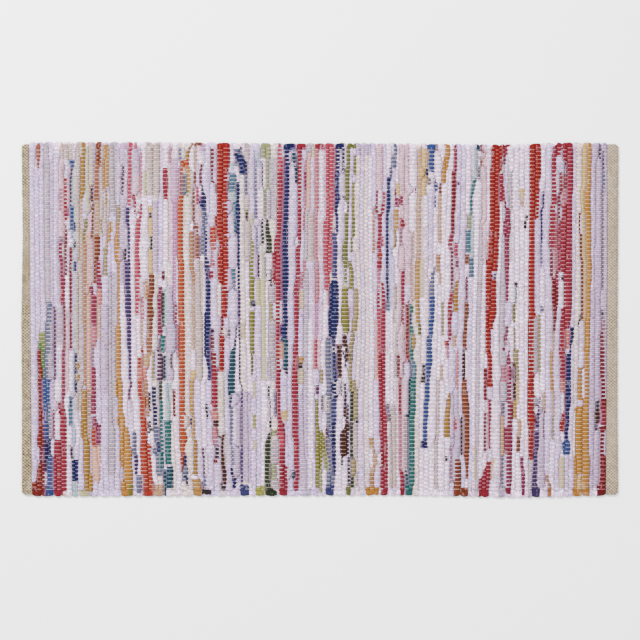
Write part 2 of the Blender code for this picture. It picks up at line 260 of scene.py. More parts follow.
# The chart: one rag a line, which runs on where it is indented. Its dye, then its left and right edge from
# each y down, then where it ends.
CHART = """
pale_lilac 3:4.7-5.3 20:4.8-5.4 30:5.1-5.7 38:4.9-5.5 46
lavender_white 2:5.3-6.3 40
beige 0.6:6.5-8.6 3
pale_rose 3:6.2-7.0 10:6.1-7.0 16
pale_blue 3.5:7.6-8.0 8
pale_teal 4:8.5-9.1 20
pale_blue 18:8.5-9.1 53
beige 0.3:9.1-10.2 45
beige 0.3:11.2-12.1 24
beige 0.3:13.0-13.7 16
beige 10:13.0-14.6 16
pale_grey 0.4:14.7-16.0 12
pale_rose 12:11.0-11.9 24
pale_lilac 27:13.2-14.4 42
pale_grey 22:14.6-15.7 56
pale_lilac 28:5.7-6.8 34
pale_rose 28:7.4-7.9 42
copper 0.5:2.65-2.95 1.3:2.45-3.1 3.2:2.6-2.9 4.4
pale_rose 2.9:2.2-2.6 4.1
lime 32:2.9-3.9 34.6
leaf 33.6:2.9-3.3 35
leaf 34.6:3.1-3.9 39.8
brick 35:2.7-3.2 38:2.8-3.5 42:2.9-3.6 45.5:2.9-3.75 49.6:2.6-3.9 51.3:3.0-3.9 55:2.6-3.9 57.2:1.9-3.9
    59.3
slate 27:4.3-5.0 30.6:4.0-4.8 36:3.8-4.5 40
blue 39.8:3.6-4.7 44
blue 44:3.8-4.5 47
slate 44:4.4-4.8 49
blue 47:3.95-4.5 50
navy 50:3.9-4.5 55.2
navy 49.5:4.85-5.2 53
blue 52.8:4.4-5.3 57.6
blue 57.7:4.0-5.4 59.3
plum 27.8:5.4-5.7 40
crimson 43.6:6.2-6.7 45.6
raspberry 45:5.3-5.5 50
crimson 50:5.5-6.4 53:5.4-6.55 58
crimson 58:5.5-6.9 59.3
dusty_rose 8:6.3-6.7 11.5
mauve 16:6.2-7.2 17
raspberry 17:6.1-6.8 20:6.4-7.2 22:6.4-7.3 27.4
crimson 24.5:6.6-7.2 26.4
maroon 27.4:7.0-7.3 30:7.0-7.4 36
raspberry 35:6.8-7.3 43:6.8-7.1 44.5
crimson 44.5:6.6-7.3 46:6.5-7.5 50:6.7-7.5 58.4
dark_red 3.8:7.1-7.3 5.2:6.9-7.1 6.2
crimson 6.2:7.0-7.6 11.4:7.0-7.8 13:7.2-7.6 13.4
pale_rose 6:7.6-7.9 13
maroon 13.8:7.3-7.6 15:7.2-7.6 22.4
indigo 4.2:8.2-8.5 6.4
blue 3.1:8.1-8.8 4.3
plum 4.3:8.2-8.5 6:8.05-8.35 10.6
blue 10.8:8.1-8.65 13.4:8.2-8.6 15
pale_blue 15:8.2-8.6 16.4
dark_red 17.6:8.05-8.4 35
navy 13.6:8.85-9.1 15
navy 16.8:8.85-9.1 18
navy 20.2:8.85-9.1 22
navy 35.5:8.95-9.2 42
sea_blue 42.8:7.9-8.5 47.5
dark_teal 43.2:8.1-8.4 44.3
black 50.8:8.2-8.5 53
navy 53.3:8.5-9.4 56.8
pale_teal 57:8.5-9.4 59.3
gold 37.3:9.3-9.8 38
gold 39.2:9.3-9.8 40
mustard 0.2:10.1-10.8 1.5:10.1-10.7 3:9.9-10.6 9.2:9.8-10.2 10
tan 10:9.75-10.0 20
pale_olive 1:10.8-11.2 12
olive 13:10.6-11.0 15.2:10.2-10.6 17.2
peach 15.5:10.9-11.6 42
caramel 17:10.3-10.8 31:10.5-10.8 41
caramel 41.5:10.9-11.3 51
mustard 41.5:10.1-10.9 44:10.0-10.9 50:10.4-11.4 56:10.6-11.9 58.5
pale_olive 58.3:9.7-11.3 59.4
rust 0.2:12.5-13.3 4
dark_brown 3.5:12.35-12.6 5.4
copper 3.6:12.2-13.0 10.4
tan 10:12.2-13.0 16
dark_brown 7.5:11.65-11.9 10
brown 10.4:11.85-12.1 12:12.0-12.3 16.2
rust 15.8:12.1-13.1 20
brown 19.6:12.1-12.6 23.8
crimson 20:12.6-13.2 23.6
raspberry 23.4:12.7-13.4 25.2
salmon 24.8:12.7-13.4 27.4
peach 27:12.7-13.2 33
raspberry 24.3:11.5-12.0 26:11.6-12.6 31
dusty_rose 31:11.7-12.6 34.4
mauve 34:11.7-12.05 38
raspberry 37.8:11.7-12.4 45.5
raspberry 46:12.0-12.4 47.2:12.0-12.9 48.5
vermilion 48:11.8-12.6 51
magenta 47.4:12.6-13.2 50.8
peach 50.8:11.8-13.2 57
gold 0.7:13.8-14.6 6:13.8-14.5 8:14.0-14.3 10.6
caramel 3:13.6-13.8 8
khaki 13.2:13.4-13.8 15.2
orchid 14:14.0-14.4 16
gold 13.6:14.6-15.3 15.2
gold 15.2:14.4-14.9 17:14.0-14.5 18.6
khaki 18:13.8-14.3 22.4
khaki 10.8:16.0-16.5 13.6
amber 13.6:15.9-16.3 16:15.6-16.3 20
amber 20:16.1-16.4 31.3:15.8-16.6 43:16.1-17.0 48:16.4-17.9 54:17.1-18.5 57
lilac 0.3:16.6-17.6 1.4
pale_lilac 1.6:16.4-17.4 20:16.4-17.3 24
pale_lilac 1:18.5-20.0 9
pale_rose 6:19.0-19.9 9.5
beige 0.3:20.8-23.2 9
pale_rose 0.3:24.6-25.0 20
pale_lilac 10:21.9-22.9 22
pale_lilac 24:24.4-25.6 40
pale_lilac 52:16.4-17.0 57
pale_teal 24.5:23.7-24.3 32
pale_teal 40.5:24.1-25.0 46.5
lilac 3:25.0-26.2 10
beige 20:29.2-30.4 40
plum 4:17.0-17.2 6.2:16.8-17.1 7:16.6-17.2 8:16.8-17.1 9
rose 0.3:17.9-18.8 1.3:17.9-18.4 6:17.8-18.3 10.7
dusty_rose 0.3:18.9-19.3 1.2
dusty_rose 2:19.9-20.1 9
crimson 9:18.6-19.0 10.3:18.8-19.2 12.2
crimson 10.5:19.9-20.1 12
rose 11.8:19.7-20.1 13.2:19.3-19.9 14.5:19.1-19.8 17:19.0-19.6 20:19.0-19.8 25:19.1-19.9 27:19.1-19.6 29
violet 11.2:17.4-18.0 14
violet 14:17.8-18.1 20
black 18:17.2-17.5 20
violet 20:17.2-18.2 25.8:17.4-18.3 29.5:17.7-18.3 35:18.0-18.3 40
pale_olive 5:20.4-20.9 9
pale_gold 10.8:21.3-21.9 22
black 12:21.4-21.7 12.7
dark_green 16:21.6-21.9 18
crimson 4.5:23.7-24.4 6:23.7-24.6 8.5:23.8-24.4 9.6
dusty_rose 1:25.1-25.3 2:24.7-25.0 3.5
orchid 10:25.4-25.9 27
slate 1:26.4-26.8 3.6
mustard 0.4:28.3-28.9 1.2:27.9-28.3 2:27.6-28.0 3
orange 3.2:26.8-28.0 4.4
vermilion 4.4:26.4-27.0 9
sea_blue 5.5:27.0-27.6 9
gold 4.4:27.6-28.2 6.2:27.9-28.3 8.5
olive 8.2:27.7-28.0 9.4
brown 0.2:28.9-30.2 0.7
tan 1:29.0-29.3 5
brown 5:28.9-29.2 8:28.7-29.0 13.6
rust 13.7:28.8-29.6 16:28.9-29.9 19.5
caramel 15:28.2-28.8 22:28.6-29.0 24
tan 24:28.7-28.9 35
lilac 0.4:29.7-30.8 1.6
maroon 3.8:30.0-30.3 5:29.8-30.1 7.3
pale_rose 10.8:29.2-30.0 14
navy 7.3:30.1-30.4 9:30.0-30.9 11.5
slate 11.5:30.2-31.0 16:30.1-30.7 19
navy 15:30.7-31.1 20:30.7-31.4 22:30.9-31.6 29:30.6-31.6 31:30.6-31.7 36.5:31.0-31.8 38:31.3-31.9 40
maroon 1.3:31.7-32.2 5:31.8-32.1 7:32.2-32.5 8.5
vermilion 12.5:32.3-32.8 14.5:31.6-32.6 18
rose 7.6:29.3-29.6 10.5
dusty_rose 26:20.0-20.5 30
tan 30:20.0-20.4 34.4
gold 23:20.7-21.1 26.3
orange 24:21.2-21.5 26
brown 22.2:21.4-22.2 26:21.1-21.9 28.3:21.1-22.2 29.6:21.1-21.9 32
copper 32:21.0-21.8 35.5
dusty_rose 36:20.8-21.4 38
vermilion 34.5:20.0-20.4 36.5:19.5-20.2 38.5
salmon 38:19.5-20.9 40
vermilion 40:19.5-20.6 43:19.9-20.9 47:20.0-21.1 51:19.9-21.6 54:20.0-21.8 57:20.3-22.1 59.3
caramel 40:20.6-21.1 43:20.9-21.4 46
maroon 21.7:23.5-24.0 23.2
magenta 24.2:23.1-23.5 25.5:22.8-23.6 29.5:22.9-23.4 31:22.9-23.7 32.4
plum 33:22.9-23.2 35:22.8-23.4 40
dark_green 25:23.6-23.8 31
teal 32.5:23.3-24.0 35.3
dark_teal 35.8:23.8-24.1 40
raspberry 27:25.6-26.0 31:26.0-26.4 36
grey 35.4:25.3-25.6 38
pale_gold 38.4:28.4-29.2 40
crimson 20:31.7-32.3 21
crimson 21.8:31.4-32.2 22.9
dark_brown 31.5:31.8-32.3 32.3
maroon 32.5:31.7-32.3 35
brick 35.3:31.8-32.6 38
crimson 38:31.9-32.8 45.2
salmon 45.2:31.9-32.9 46.8
amber 40:16.2-16.9 46:16.4-17.3 49:16.5-18.1 52:16.7-18.4 55:17.0-18.6 57.4:16.7-18.6 59.3
olive 57.5:18.1-18.7 59.2
plum 40:18.2-18.5 41.6:17.9-18.2 43.4
black 42:21.3-21.6 45
black 46.9:21.25-21.7 48.8
navy 41:21.9-22.5 44.5:22.1-22.7 48
slate 48:22.2-23.0 51.5:22.2-23.3 53:22.6-23.5 56
navy 47:22.9-23.3 52
dark_green 40:23.1-23.5 44
teal 43.5:23.2-23.6 50:23.3-23.8 55
dark_teal 55:23.8-24.2 59.3
teal 46.8:24.0-25.1 48.3:24.1-25.0 54
dark_teal 54.5:24.4-25.4 58
dark_red 41.5:25.4-25.8 46
orange 39.9:26.5-27.3 49.3:26.5-27.8 50.8:26.6-27.3 55.3
navy 52.5:27.3-27.6 54.6
slate 54.6:27.0-27.9 56.9
navy 56:27.6-27.9 57.7
gold 40:28.2-28.8 46:28.6-29.0 50
mustard 50:28.9-29.4 56
gold 56.6:28.8-30.0 59.3
black 46:28.3-28.5 48
black 44:30.8-31.1 46.5
plum 51.5:30.2-30.5 58.5
black 58.3:30.2-31.8 59.0
dark_brown 46.8:32.2-33.0 48
dark_brown 47.3:32.2-33.0 48.2
black 48.2:32.5-33.05 53.2
dusty_rose 48:32.0-32.6 51
dark_red 53.2:32.2-32.8 54
slate 48.5:18.6-19.2 52.6
violet 52.6:18.9-19.5 54.5:19.0-19.4 56
slate 56:19.3-20.1 58.8
orange 9:26.4-27.0 10:26.1-27.0 20:26.3-27.2 30:26.4-27.3 40
dusty_rose 17.5:31.8-32.1 21
khaki 35:21.9-22.2 40
tan 57.6:22.4-23.7 59.3
slate 56:30.5-30.8 58
tan 35.6:20.4-21.5 37.6
beige 0.3:37.3-38.2 20
pale_blue 1.5:39.0-40.0 4
pale_teal 3.6:35.0-35.5 4.4
pale_teal 8.2:34.9-35.8 10:35.3-36.1 12.5
lavender_white 9:33.0-33.4 11.2
pale_grey 2.8:41.2-42.4 13
pale_olive 12:38.3-38.7 15
pale_olive 16:40.1-40.6 20:40.2-40.9 40
pale_olive 23:39.3-40.0 27.5
pale_grey 24:41.3-42.4 40
pale_lilac 42:35.9-38.4 57
pale_rose 1.5:48.9-50.1 38
peach 2:47.9-48.4 11.6
beige 12:47.9-48.8 20
pale_khaki 0.5:48.6-49.1 2.6
pale_khaki 25:46.7-47.3 28
pale_khaki 30.5:36.7-37.5 33
pale_khaki 38:46.5-47.3 40.5
pale_olive 40:33.7-34.0 46
pale_khaki 49:34.1-34.5 54
pale_grey 50:42.0-43.0 58
pale_gold 45:43.7-44.5 46.6
white 30:48.0-48.8 58
pale_lilac 42:46.6-47.9 58
red 0.2:32.8-34.9 4.7:32.8-34.5 12:32.8-34.5 16:32.9-34.5 16.6:33.2-34.5 18.4:33.1-34.6 19:32.8-34.6
    20:32.9-34.6 23.2:33.0-34.6 24:33.5-34.5 28.7:33.5-34.3 29.6
dark_red 29.4:33.5-33.8 31.5:33.4-33.8 33
red 32.2:33.2-33.9 36:33.2-33.9 38.5
plum 0.9:36.5-36.9 1.5:36.4-36.8 2
slate 1.2:35.5-36.7 2.2
slate 3.2:35.7-36.2 4.0
plum 1.8:35.6-35.9 3.3
navy 2.1:35.7-37.2 3:36.0-37.5 3.5:36.5-37.7 5.5
slate 5.6:37.4-37.7 9
sea_blue 5.3:35.0-35.8 6:35.0-36.1 7:34.7-35.9 8.3
sea_blue 10:35.5-35.8 12:35.6-36.0 16
navy 6.8:36.1-36.4 7.8:36.0-36.5 9.5:36.0-36.4 11:35.9-36.6 13.5:36.1-36.5 16:36.2-36.5 25
olive 11.5:37.4-37.9 12.1
dark_brown 12:37.6-37.9 13.3
olive 14:38.3-38.6 17:38.4-38.9 20:38.2-38.9 27.6
navy 26.8:38.8-39.2 27.6
olive 28.4:38.2-39.0 31.5:38.3-38.9 36:38.4-38.8 39
slate 3:39.1-39.4 13
slate 14:39.4-39.6 19
dark_brown 19:39.6-39.8 23
sage 0.3:40.1-41.7 2.8
black 3.2:40.3-40.5 8
sage 3:41.0-41.3 8
sage 8:40.5-41.0 13
dark_green 13:40.2-40.5 15.5:40.2-40.6 17.3
dark_green 13:41.0-41.3 14.5:40.9-41.5 16:41.0-41.8 17:41.1-41.9 18.8
dark_green 19.5:40.8-41.0 22.6
black 21.6:41.7-42.0 24.2
rose 0.3:42.7-43.4 1.2:43.0-43.6 2.6
rose 2.6:42.9-44.0 5.1
crimson 5:42.9-43.8 10:42.8-43.7 16:42.6-43.5 17:42.3-43.5 19:42.1-43.6 24:42.5-43.6 27:42.6-43.25
    33:42.5-43.2 37:42.6-43.3 46:42.9-43.5 47.3:43.0-44.1 50.5:43.1-44.1 54.5:43.2-44.5 59.2
rose 48.8:43.1-44.2 51
peach 33.3:43.2-43.8 36.3
rose 33.2:43.6-44.0 35.2
navy 0.2:43.9-45.8 1.3
navy 1.3:44.1-44.8 9.7:43.95-44.7 14:43.8-44.6 17:43.7-44.6 20:43.7-44.7 25:43.8-44.5 29.5:43.8-44.6
    31:43.4-44.5 33.4
dark_teal 33:43.9-44.6 38.2
black 38.1:44.1-44.6 38.8
dark_teal 1.5:45.6-45.9 2.6:45.3-46.0 3.8:45.6-46.0 5:45.8-46.1 7
crimson 0.3:46.1-47.6 1.3
crimson 1.3:46.3-46.9 9:46.3-46.8 18:46.0-46.6 24:45.7-46.5 29:45.7-46.4 31:45.8-46.3 34:45.5-46.3
    38:45.3-46.3 44:45.4-46.4 50:45.7-46.5 57:45.6-46.4 58.5
dusty_rose 3:47.5-47.7 5.3
raspberry 5.3:47.4-47.7 8.4
dusty_rose 8.4:47.4-47.6 15
dusty_rose 20:47.2-47.5 22:47.0-47.3 23.3:46.7-47.0 24.6
crimson 0.3:49.1-50.8 1.4
dusty_rose 1.4:49.2-49.7 12:49.1-49.5 20:49.2-49.7 22:49.3-49.8 27
orchid 27:49.3-49.6 33
rose 33:49.0-49.5 38
sea_blue 21.2:35.3-35.6 22:35.3-35.8 23.3
slate 23.3:35.5-35.8 25
violet 25:36.3-36.6 33
violet 33:36.4-36.6 41:36.8-37.0 58
dark_teal 31:35.8-36.0 33.5:35.6-35.9 35:35.2-35.8 36:34.9-35.8 39:34.6-35.7 42.2:34.6-35.6
    42.9:34.7-35.2 44.6
grey 31.3:34.6-34.9 33
khaki 27:41.6-42.0 30
gold 36:46.5-47.2 37.3
black 37.2:46.4-46.9 38
slate 44:35.0-35.3 54
navy 54.6:35.0-35.4 56.2:35.3-35.9 58
indigo 57.5:36.6-37.8 58.2:36.7-38.2 59.3
light_olive 57.7:39.3-40.6 59.3
pale_olive 40.3:38.9-39.2 43
light_olive 45.8:38.9-39.2 48
pale_olive 50:39.0-39.4 51.5
dark_green 41:41.3-41.6 43.2
grey 43.2:41.6-41.8 46.8
dark_green 46.8:41.5-41.8 49.3:41.2-41.7 50.5:40.8-41.7 52.5:40.8-41.7 58
dark_green 58:40.8-42.1 58.6:40.8-42.8 59.3
sage 48.3:42.0-42.5 49.2
sage 54:42.0-42.6 56.5
slate 41.5:42.4-42.6 46
dark_brown 49.2:33.7-34.0 50.2:33.5-33.8 53:33.5-34.0 55:33.7-34.3 57.4
black 57.2:33.2-33.6 57.8:33.5-34.2 58.4
dark_teal 55:45.4-45.8 56.5
plum 40.8:49.4-49.8 42.4
olive 43:49.3-49.7 48:49.3-49.9 51:49.3-50.4 54:49.3-50.3 58
white 1.4:50.1-50.9 20
lavender_white 5:53.3-54.0 22
pale_rose 0.5:59.4-60.6 8
pale_rose 0.5:63.2-64.9 24
pale_rose 20:63.0-64.3 56
beige 24:62.3-62.9 44:61.6-62.8 58
peach 30:59.2-59.6 40
white 28:61.2-62.2 44
pale_blue 7:61.7-62.1 28
pale_lilac 0.3:56.1-58.5 2.4
beige 46.5:55.5-56.3 58
pale_khaki 10:66.6-67.0 26
lilac 28:54.9-55.4 29.6
rose 0.3:50.9-52.5 1.5:50.9-52.4 8:50.9-52.2 13.5:50.6-52.1 20:50.6-52.0 22:50.8-51.6 25:51.1-51.6 27.3
orchid 4:51.08-51.56 17
dusty_rose 28.6:51.2-51.5 33
navy 0.3:52.6-54.0 1.2
navy 1.2:52.6-53.3 5:52.5-53.2 11:52.5-52.9 12.3
navy 12.3:52.7-53.0 15.4
indigo 15.5:52.0-52.7 17:52.2-52.9 20:52.1-52.8 22.8
navy 1.1:53.8-54.1 5.3
navy 9.2:53.8-54.1 9.8
navy 23.3:51.9-53.0 24.5:51.6-53.1 28.5:51.4-53.1 31:51.5-52.8 33:51.8-52.5 35:51.8-52.4 36:51.8-52.9
    40:51.9-52.8 43.4
slate 33:51.0-51.7 40:51.2-51.9 56
indigo 43.4:51.9-52.7 47
navy 47:52.0-52.6 56
slate 56:51.2-52.4 57.8
indigo 57.6:51.0-52.3 59.3
plum 47.8:51.0-51.2 50:50.9-51.1 53.6
moss 0.3:54.7-56.0 1.1
moss 1.1:54.5-55.0 5:54.1-54.9 9:54.3-54.9 10.5:54.5-54.8 12.4:54.1-54.7 17:53.8-54.6 21.6:54.1-54.5 23.5
pale_olive 23.4:53.9-54.5 24.5
olive 24.5:53.7-54.6 28:53.5-54.9 31:53.9-54.9 32
moss 2.5:55.7-56.0 5.6
olive 7:55.4-55.7 12.5
moss 12.6:55.4-55.8 16
moss 16:55.2-55.4 18.6
olive 20:54.9-55.2 21.4:55.0-55.6 24.6
khaki 24.7:55.7-56.4 30:55.3-56.2 32:55.1-55.8 34:54.8-55.5 37:54.8-55.3 40
khaki 40:55.2-55.9 41.4:55.3-56.3 46.6
dark_brown 32.3:54.0-54.3 33.3:53.8-54.5 34.6:54.2-54.8 36.8
black 35:53.8-54.0 36.2:54.1-54.3 37.9
dark_brown 34:52.9-53.6 36:52.95-53.6 38.5:53.2-53.6 39.5
grey 40:53.5-53.7 42.5
black 40.5:54.1-54.4 44.6
dark_brown 44.6:54.0-54.5 46.5:54.2-54.8 48.2:54.0-54.9 49:53.4-54.8 52.9:53.5-53.9 54.2
black 44:54.6-54.8 46.8
black 52.9:54.7-55.0 58
moss 57.7:54.4-55.1 59.3
olive 40:55.0-55.3 42
dark_green 42:55.1-55.5 53:55.2-55.6 58
black 46.5:56.1-56.5 47.1
khaki 53.4:55.2-56.0 56
caramel 11:58.9-59.2 18.6
raspberry 8.2:59.4-59.7 10.6
maroon 10.6:59.3-59.7 12.8
rose 8.3:60.6-60.9 10.5
crimson 10.4:60.3-60.8 12.4:59.8-60.3 17:59.6-60.2 20:59.6-60.3 21.6
rose 16:60.3-60.6 17.5
vermilion 18.5:59.9-60.4 19.5
dusty_rose 21.6:59.7-60.0 25
crimson 25:59.6-60.0 28
rose 28:59.6-60.2 36
crimson 23.6:60.4-60.7 25:60.4-60.9 29:60.3-61.0 36:59.7-60.9 40:59.9-60.9 44:60.0-61.0 46:60.0-61.2
    50:60.2-61.3 59.3
slate 0.4:62.4-62.9 2.6:62.0-62.8 4.4
slate 4.4:61.6-62.1 6.6
navy 6:61.3-61.7 9:61.2-61.8 12:61.1-61.45 24:61.2-61.5 27
slate 27:61.1-61.6 28.2
pale_gold 7:62.8-63.3 9
raspberry 8:62.5-62.8 9.8:62.6-63.3 10.9
raspberry 9:63.5-63.8 10.6
gold 11.4:62.4-63.1 15:62.3-62.8 17.6
crimson 12.8:63.4-63.7 13.5:63.6-64.2 14.4
mauve 14.5:63.3-63.6 17.4
maroon 7.5:65.9-66.1 8.6
tan 15:65.5-65.8 20:65.3-65.6 27
crimson 21.5:63.7-64.1 28:63.8-64.0 30.6
tan 0.9:66.7-67.2 1.6:66.4-67.0 10:66.3-66.8 20
gold 20:66.0-66.6 28:66.0-66.7 30.4
olive 30.4:66.4-66.9 32.5
rose 26.7:64.9-65.1 27.5
brick 27.4:64.4-65.0 31:64.3-64.9 36
crimson 36:64.4-65.0 37
maroon 37:64.1-64.3 39
green 27.4:65.1-65.6 28.8
dark_teal 28.8:65.1-65.3 31
green 31:65.1-65.6 36.8
dark_teal 36.8:64.9-65.4 40:64.8-65.2 42.2:64.5-65.0 46:64.3-64.9 58
sea_blue 37:65.4-66.1 40
teal 40:65.2-66.0 46:65.0-65.8 58:64.3-65.4 59.3
gold 32.5:65.5-66.0 34.5
maroon 35.7:62.9-63.3 39.4
crimson 39.5:63.2-63.5 46
dusty_rose 46:63.3-63.5 55
crimson 55:63.3-63.7 56:63.5-64.1 59.3
gold 49.8:58.4-58.9 51.4
tan 51.4:58.6-59.0 52.5:58.9-59.5 54.8:58.7-59.2 55.5
caramel 55.5:58.4-59.0 58
amber 58:57.8-59.7 59.3
slate 44:61.2-61.5 45.5
grey 45.5:61.5-61.8 47
khaki 38.3:50.05-50.5 40.4
grey 42.4:50.25-50.5 45.2
olive 48.4:49.9-50.4 49.2:50.0-50.7 50.6:50.2-50.8 52
lime 52:50.6-51.0 53.5:50.8-51.2 55
sage 55:49.9-50.3 58.8
pink 27.1:51.4-52.0 28.6
pale_gold 1.2:67.0-67.9 7:67.0-67.7 9
pale_khaki 9:67.0-67.5 26
lavender_white 8:68.2-69.0 21
pale_rose 0.5:77.2-78.0 20
pale_rose 20:72.6-73.4 28
pale_teal 1:75.8-76.5 6:75.3-75.8 20
pale_rose 5:72.6-73.0 14
pale_rose 41:77.7-78.2 53.5
pale_lilac 42:72.0-73.2 57
pale_grey 5:81.4-82.2 20
beige 40:69.5-70.0 50:69.2-69.7 58
pale_khaki 51:75.8-76.2 56.5
pale_gold 53:78.9-79.3 56.5
pale_gold 40:82.9-83.3 44
pale_teal 24.5:82.5-83.0 27
blue 0.3:67.7-69.4 1.3:68.0-69.2 2:68.4-69.1 3:68.1-69.1 5
mauve 0.3:69.4-69.8 1.5
navy 4.6:67.8-68.1 6
grey 6.1:68.0-68.6 7.1
blue 5.8:69.1-69.4 7:69.2-69.7 8.5:69.1-69.4 11
amber 0.4:70.7-71.8 1.4:71.2-71.8 2.4:70.9-71.8 3.5:70.6-71.4 5:70.4-71.1 6.9
brown 7:70.0-70.3 9
tan 9:69.9-70.3 17
caramel 19:69.5-70.1 21.9
tan 22:70.0-70.3 24
crimson 0.5:72.5-72.9 5
dark_red 5:72.1-72.8 9.5:72.1-72.7 12:72.0-72.5 15.7
crimson 15.7:71.8-72.4 16.6:71.5-72.1 18.1
maroon 18:72.0-72.3 25.2
rose 17:72.6-73.0 19.5
maroon 19.8:72.8-73.1 21.2
plum 6.6:73.1-73.3 7.4
maroon 0.3:76.8-77.2 1.9
dark_teal 0.3:76.3-76.7 1.6
brown 2.6:76.8-77.1 4.3
grey 4.3:76.5-76.7 6.4
teal 6.2:75.9-76.2 7:75.5-76.1 8:75.3-75.8 8.8
teal 9:75.2-75.5 12.5
sage 12.2:74.8-75.3 15
sea_blue 15:74.5-75.2 18.6
rust 19:74.4-74.9 20.6
sea_blue 19.6:75.1-75.7 22.7
red 0.3:79.0-80.4 1.3:78.8-80.5 4.8:78.5-80.3 5.4:78.5-80.1 15:78.4-80.0 17:78.1-79.9 20:77.8-79.8 21.7
crimson 5.4:80.1-80.7 8:80.1-80.9 10
crimson 0.3:80.5-82.0 1.3:80.7-81.3 2.3
maroon 2.3:80.8-81.1 3.7
raspberry 10:80.9-81.2 11.6:81.2-81.9 12.8:81.1-81.7 13.6:80.8-81.9 15:80.7-81.9 16.2:81.0-81.6
    20:81.0-81.7 21.5:81.1-81.6 24
raspberry 24:81.2-81.5 27
slate 21:69.0-69.2 22.4
slate 22:68.6-69.1 24:68.4-69.1 26
blue 26:68.4-69.2 28.5:68.4-69.1 30:68.2-69.1 31:68.3-68.9 33:67.9-68.7 36:67.9-68.8 38:67.8-68.5
    40:67.6-68.3 44:67.4-68.1 47:67.3-67.9 49:67.3-67.9 50.4
navy 50.2:67.0-67.9 51.3
black 37.3:67.2-67.5 39.4
black 39.6:67.0-67.6 40.4
khaki 27:70.4-70.7 32.5
tan 37.5:70.2-70.5 40
crimson 25.4:71.8-72.3 27:71.5-72.1 30:71.5-71.9 33.5
red 33.5:70.9-71.6 34.5
dusty_rose 34.5:71.3-71.5 36.5
mustard 23.5:72.8-73.1 24.5:72.5-73.1 26:72.3-73.0 27.4:72.5-73.1 28.6
tan 32.5:72.3-72.7 34.5
salmon 35:72.9-73.1 41.5
maroon 22.8:74.5-74.7 27
brown 27:74.3-74.9 30:74.2-74.6 32
rust 32:74.0-74.5 35
dark_brown 35:73.8-74.3 40
rust 40:73.8-74.5 42:73.8-74.8 44:73.9-75.0 47:74.1-75.0 52.5:74.3-74.9 54.5:74.5-74.8 56.4
red 21.7:77.8-78.6 29:77.8-78.6 36:78.1-78.8 40.2
red 23:78.7-79.5 28.5:78.4-79.6 29.6:78.3-79.4 30.5:78.2-78.9 31.4
navy 22.3:79.1-79.4 23
dark_red 38:77.5-77.9 43.2
red 40:78.0-78.9 41
maroon 45.4:77.5-77.8 52
crimson 43:78.2-78.6 47:78.3-78.5 51.5
crimson 53.6:77.9-78.5 55:77.4-78.5 56.5:76.8-78.5 57.5:76.6-78.3 59.5
maroon 31:81.2-81.5 32.4
raspberry 32.4:80.9-81.3 33.6:80.6-81.0 35
raspberry 35:81.5-81.7 36.4:81.4-81.9 38:81.4-82.0 44:81.4-82.2 48:81.2-82.2 52.5:81.2-82.1 58:81.3-81.9
    58.8
dusty_rose 37.5:80.5-81.0 40
grey 43.5:80.5-80.8 46
tan 46:80.3-80.8 52.6
grey 52.6:80.4-80.6 58
black 23.6:82.6-83.0 24.4
olive 27:82.4-82.7 30.2
khaki 31:82.4-82.7 35:82.4-83.2 37.6
dark_brown 37:82.4-82.8 43.4
khaki 37.6:82.9-83.3 40
gold 43.4:82.4-82.9 46.4
tan 46.5:83.2-83.7 49.4
brown 49.4:83.0-83.5 52
mustard 42.2:71.4-71.9 43.5:71.3-71.9 45:71.0-71.7 47:70.8-71.7 49.5
rose 46.3:72.8-73.0 47:72.5-72.9 48.3
black 46:73.6-73.8 52.5
rust 53.2:72.6-73.6 58.1
rust 58:72.3-74.8 59.4
mauve 51:71.8-72.0 57
black 52.7:71.0-71.3 53.5
pale_gold 8:83.6-84.2 9.7
lavender_white 7:86.6-87.2 9:86.7-87.2 13.4:86.1-86.8 28
pale_lilac 44.5:86.7-87.6 58
pale_lilac 0.4:95.8-97.9 25:95.5-98.0 40:95.3-96.8 58
pale_gold 0.3:94.3-94.8 1.5:94.0-94.8 8:93.7-94.3 11:93.9-94.5 20:94.1-94.7 37
dusty_rose 5.5:90.3-91.3 11
dusty_rose 12:89.2-89.8 24
pale_khaki 53:90.0-91.0 58
pale_khaki 42.3:89.2-89.8 43.2
tan 9.9:83.7-84.1 10.9
black 13.3:84.1-84.6 14.5
dark_green 12.4:84.5-84.8 13.2
magenta 52.8:83.6-84.0 55:83.8-84.3 59
red 0.4:85.2-87.0 6.6:85.2-86.7 9:85.2-86.7 11.5:85.2-86.6 13.3:85.1-86.0 20:85.0-86.0 30:84.9-85.8
    40:84.8-85.8 48:85.0-85.9 53.3
navy 8.4:87.3-87.5 11.5:87.0-87.2 17
slate 17:86.9-87.1 21
slate 27.5:87.0-87.3 28.6
khaki 29:86.6-86.9 39
crimson 0.4:89.8-90.5 0.9:89.2-90.4 1.7:89.1-90.3 2.5
crimson 2.2:88.9-89.5 8:88.9-89.6 11:88.6-89.3 15:88.4-89.1 18
maroon 18:88.6-89.0 23.4
maroon 5:90.2-90.5 9:89.9-90.2 14
crimson 14:89.9-90.3 22:89.6-89.9 24.6
dark_red 23:89.0-89.4 24.6:88.9-89.9 27:89.0-89.8 28.4:89.1-89.6 30.4
brown 30.3:89.1-89.4 32
tan 32:89.0-89.2 35
gold 35:88.6-89.0 40
amber 40:88.7-89.1 42
tan 42:89.0-89.2 46
khaki 46:88.9-89.1 50
crimson 0.2:90.4-92.1 1.4:90.7-92.4 3.4
maroon 3.4:91.0-91.4 8
crimson 3.4:91.5-92.4 9:91.4-92.2 10.8:90.6-92.2 13.4:90.3-92.2 22.2:90.9-92.2 28:90.5-92.1 30:90.3-91.9
    31.6:90.2-91.3 34.6:90.1-91.0 36.5:90.3-91.1 40
salmon 31.6:91.3-91.8 34.6
black 22.4:90.4-90.7 23.2
salmon 40:90.3-91.0 42
crimson 42:90.8-91.1 46:90.5-91.1 47
red 46.8:90.2-91.1 48.6
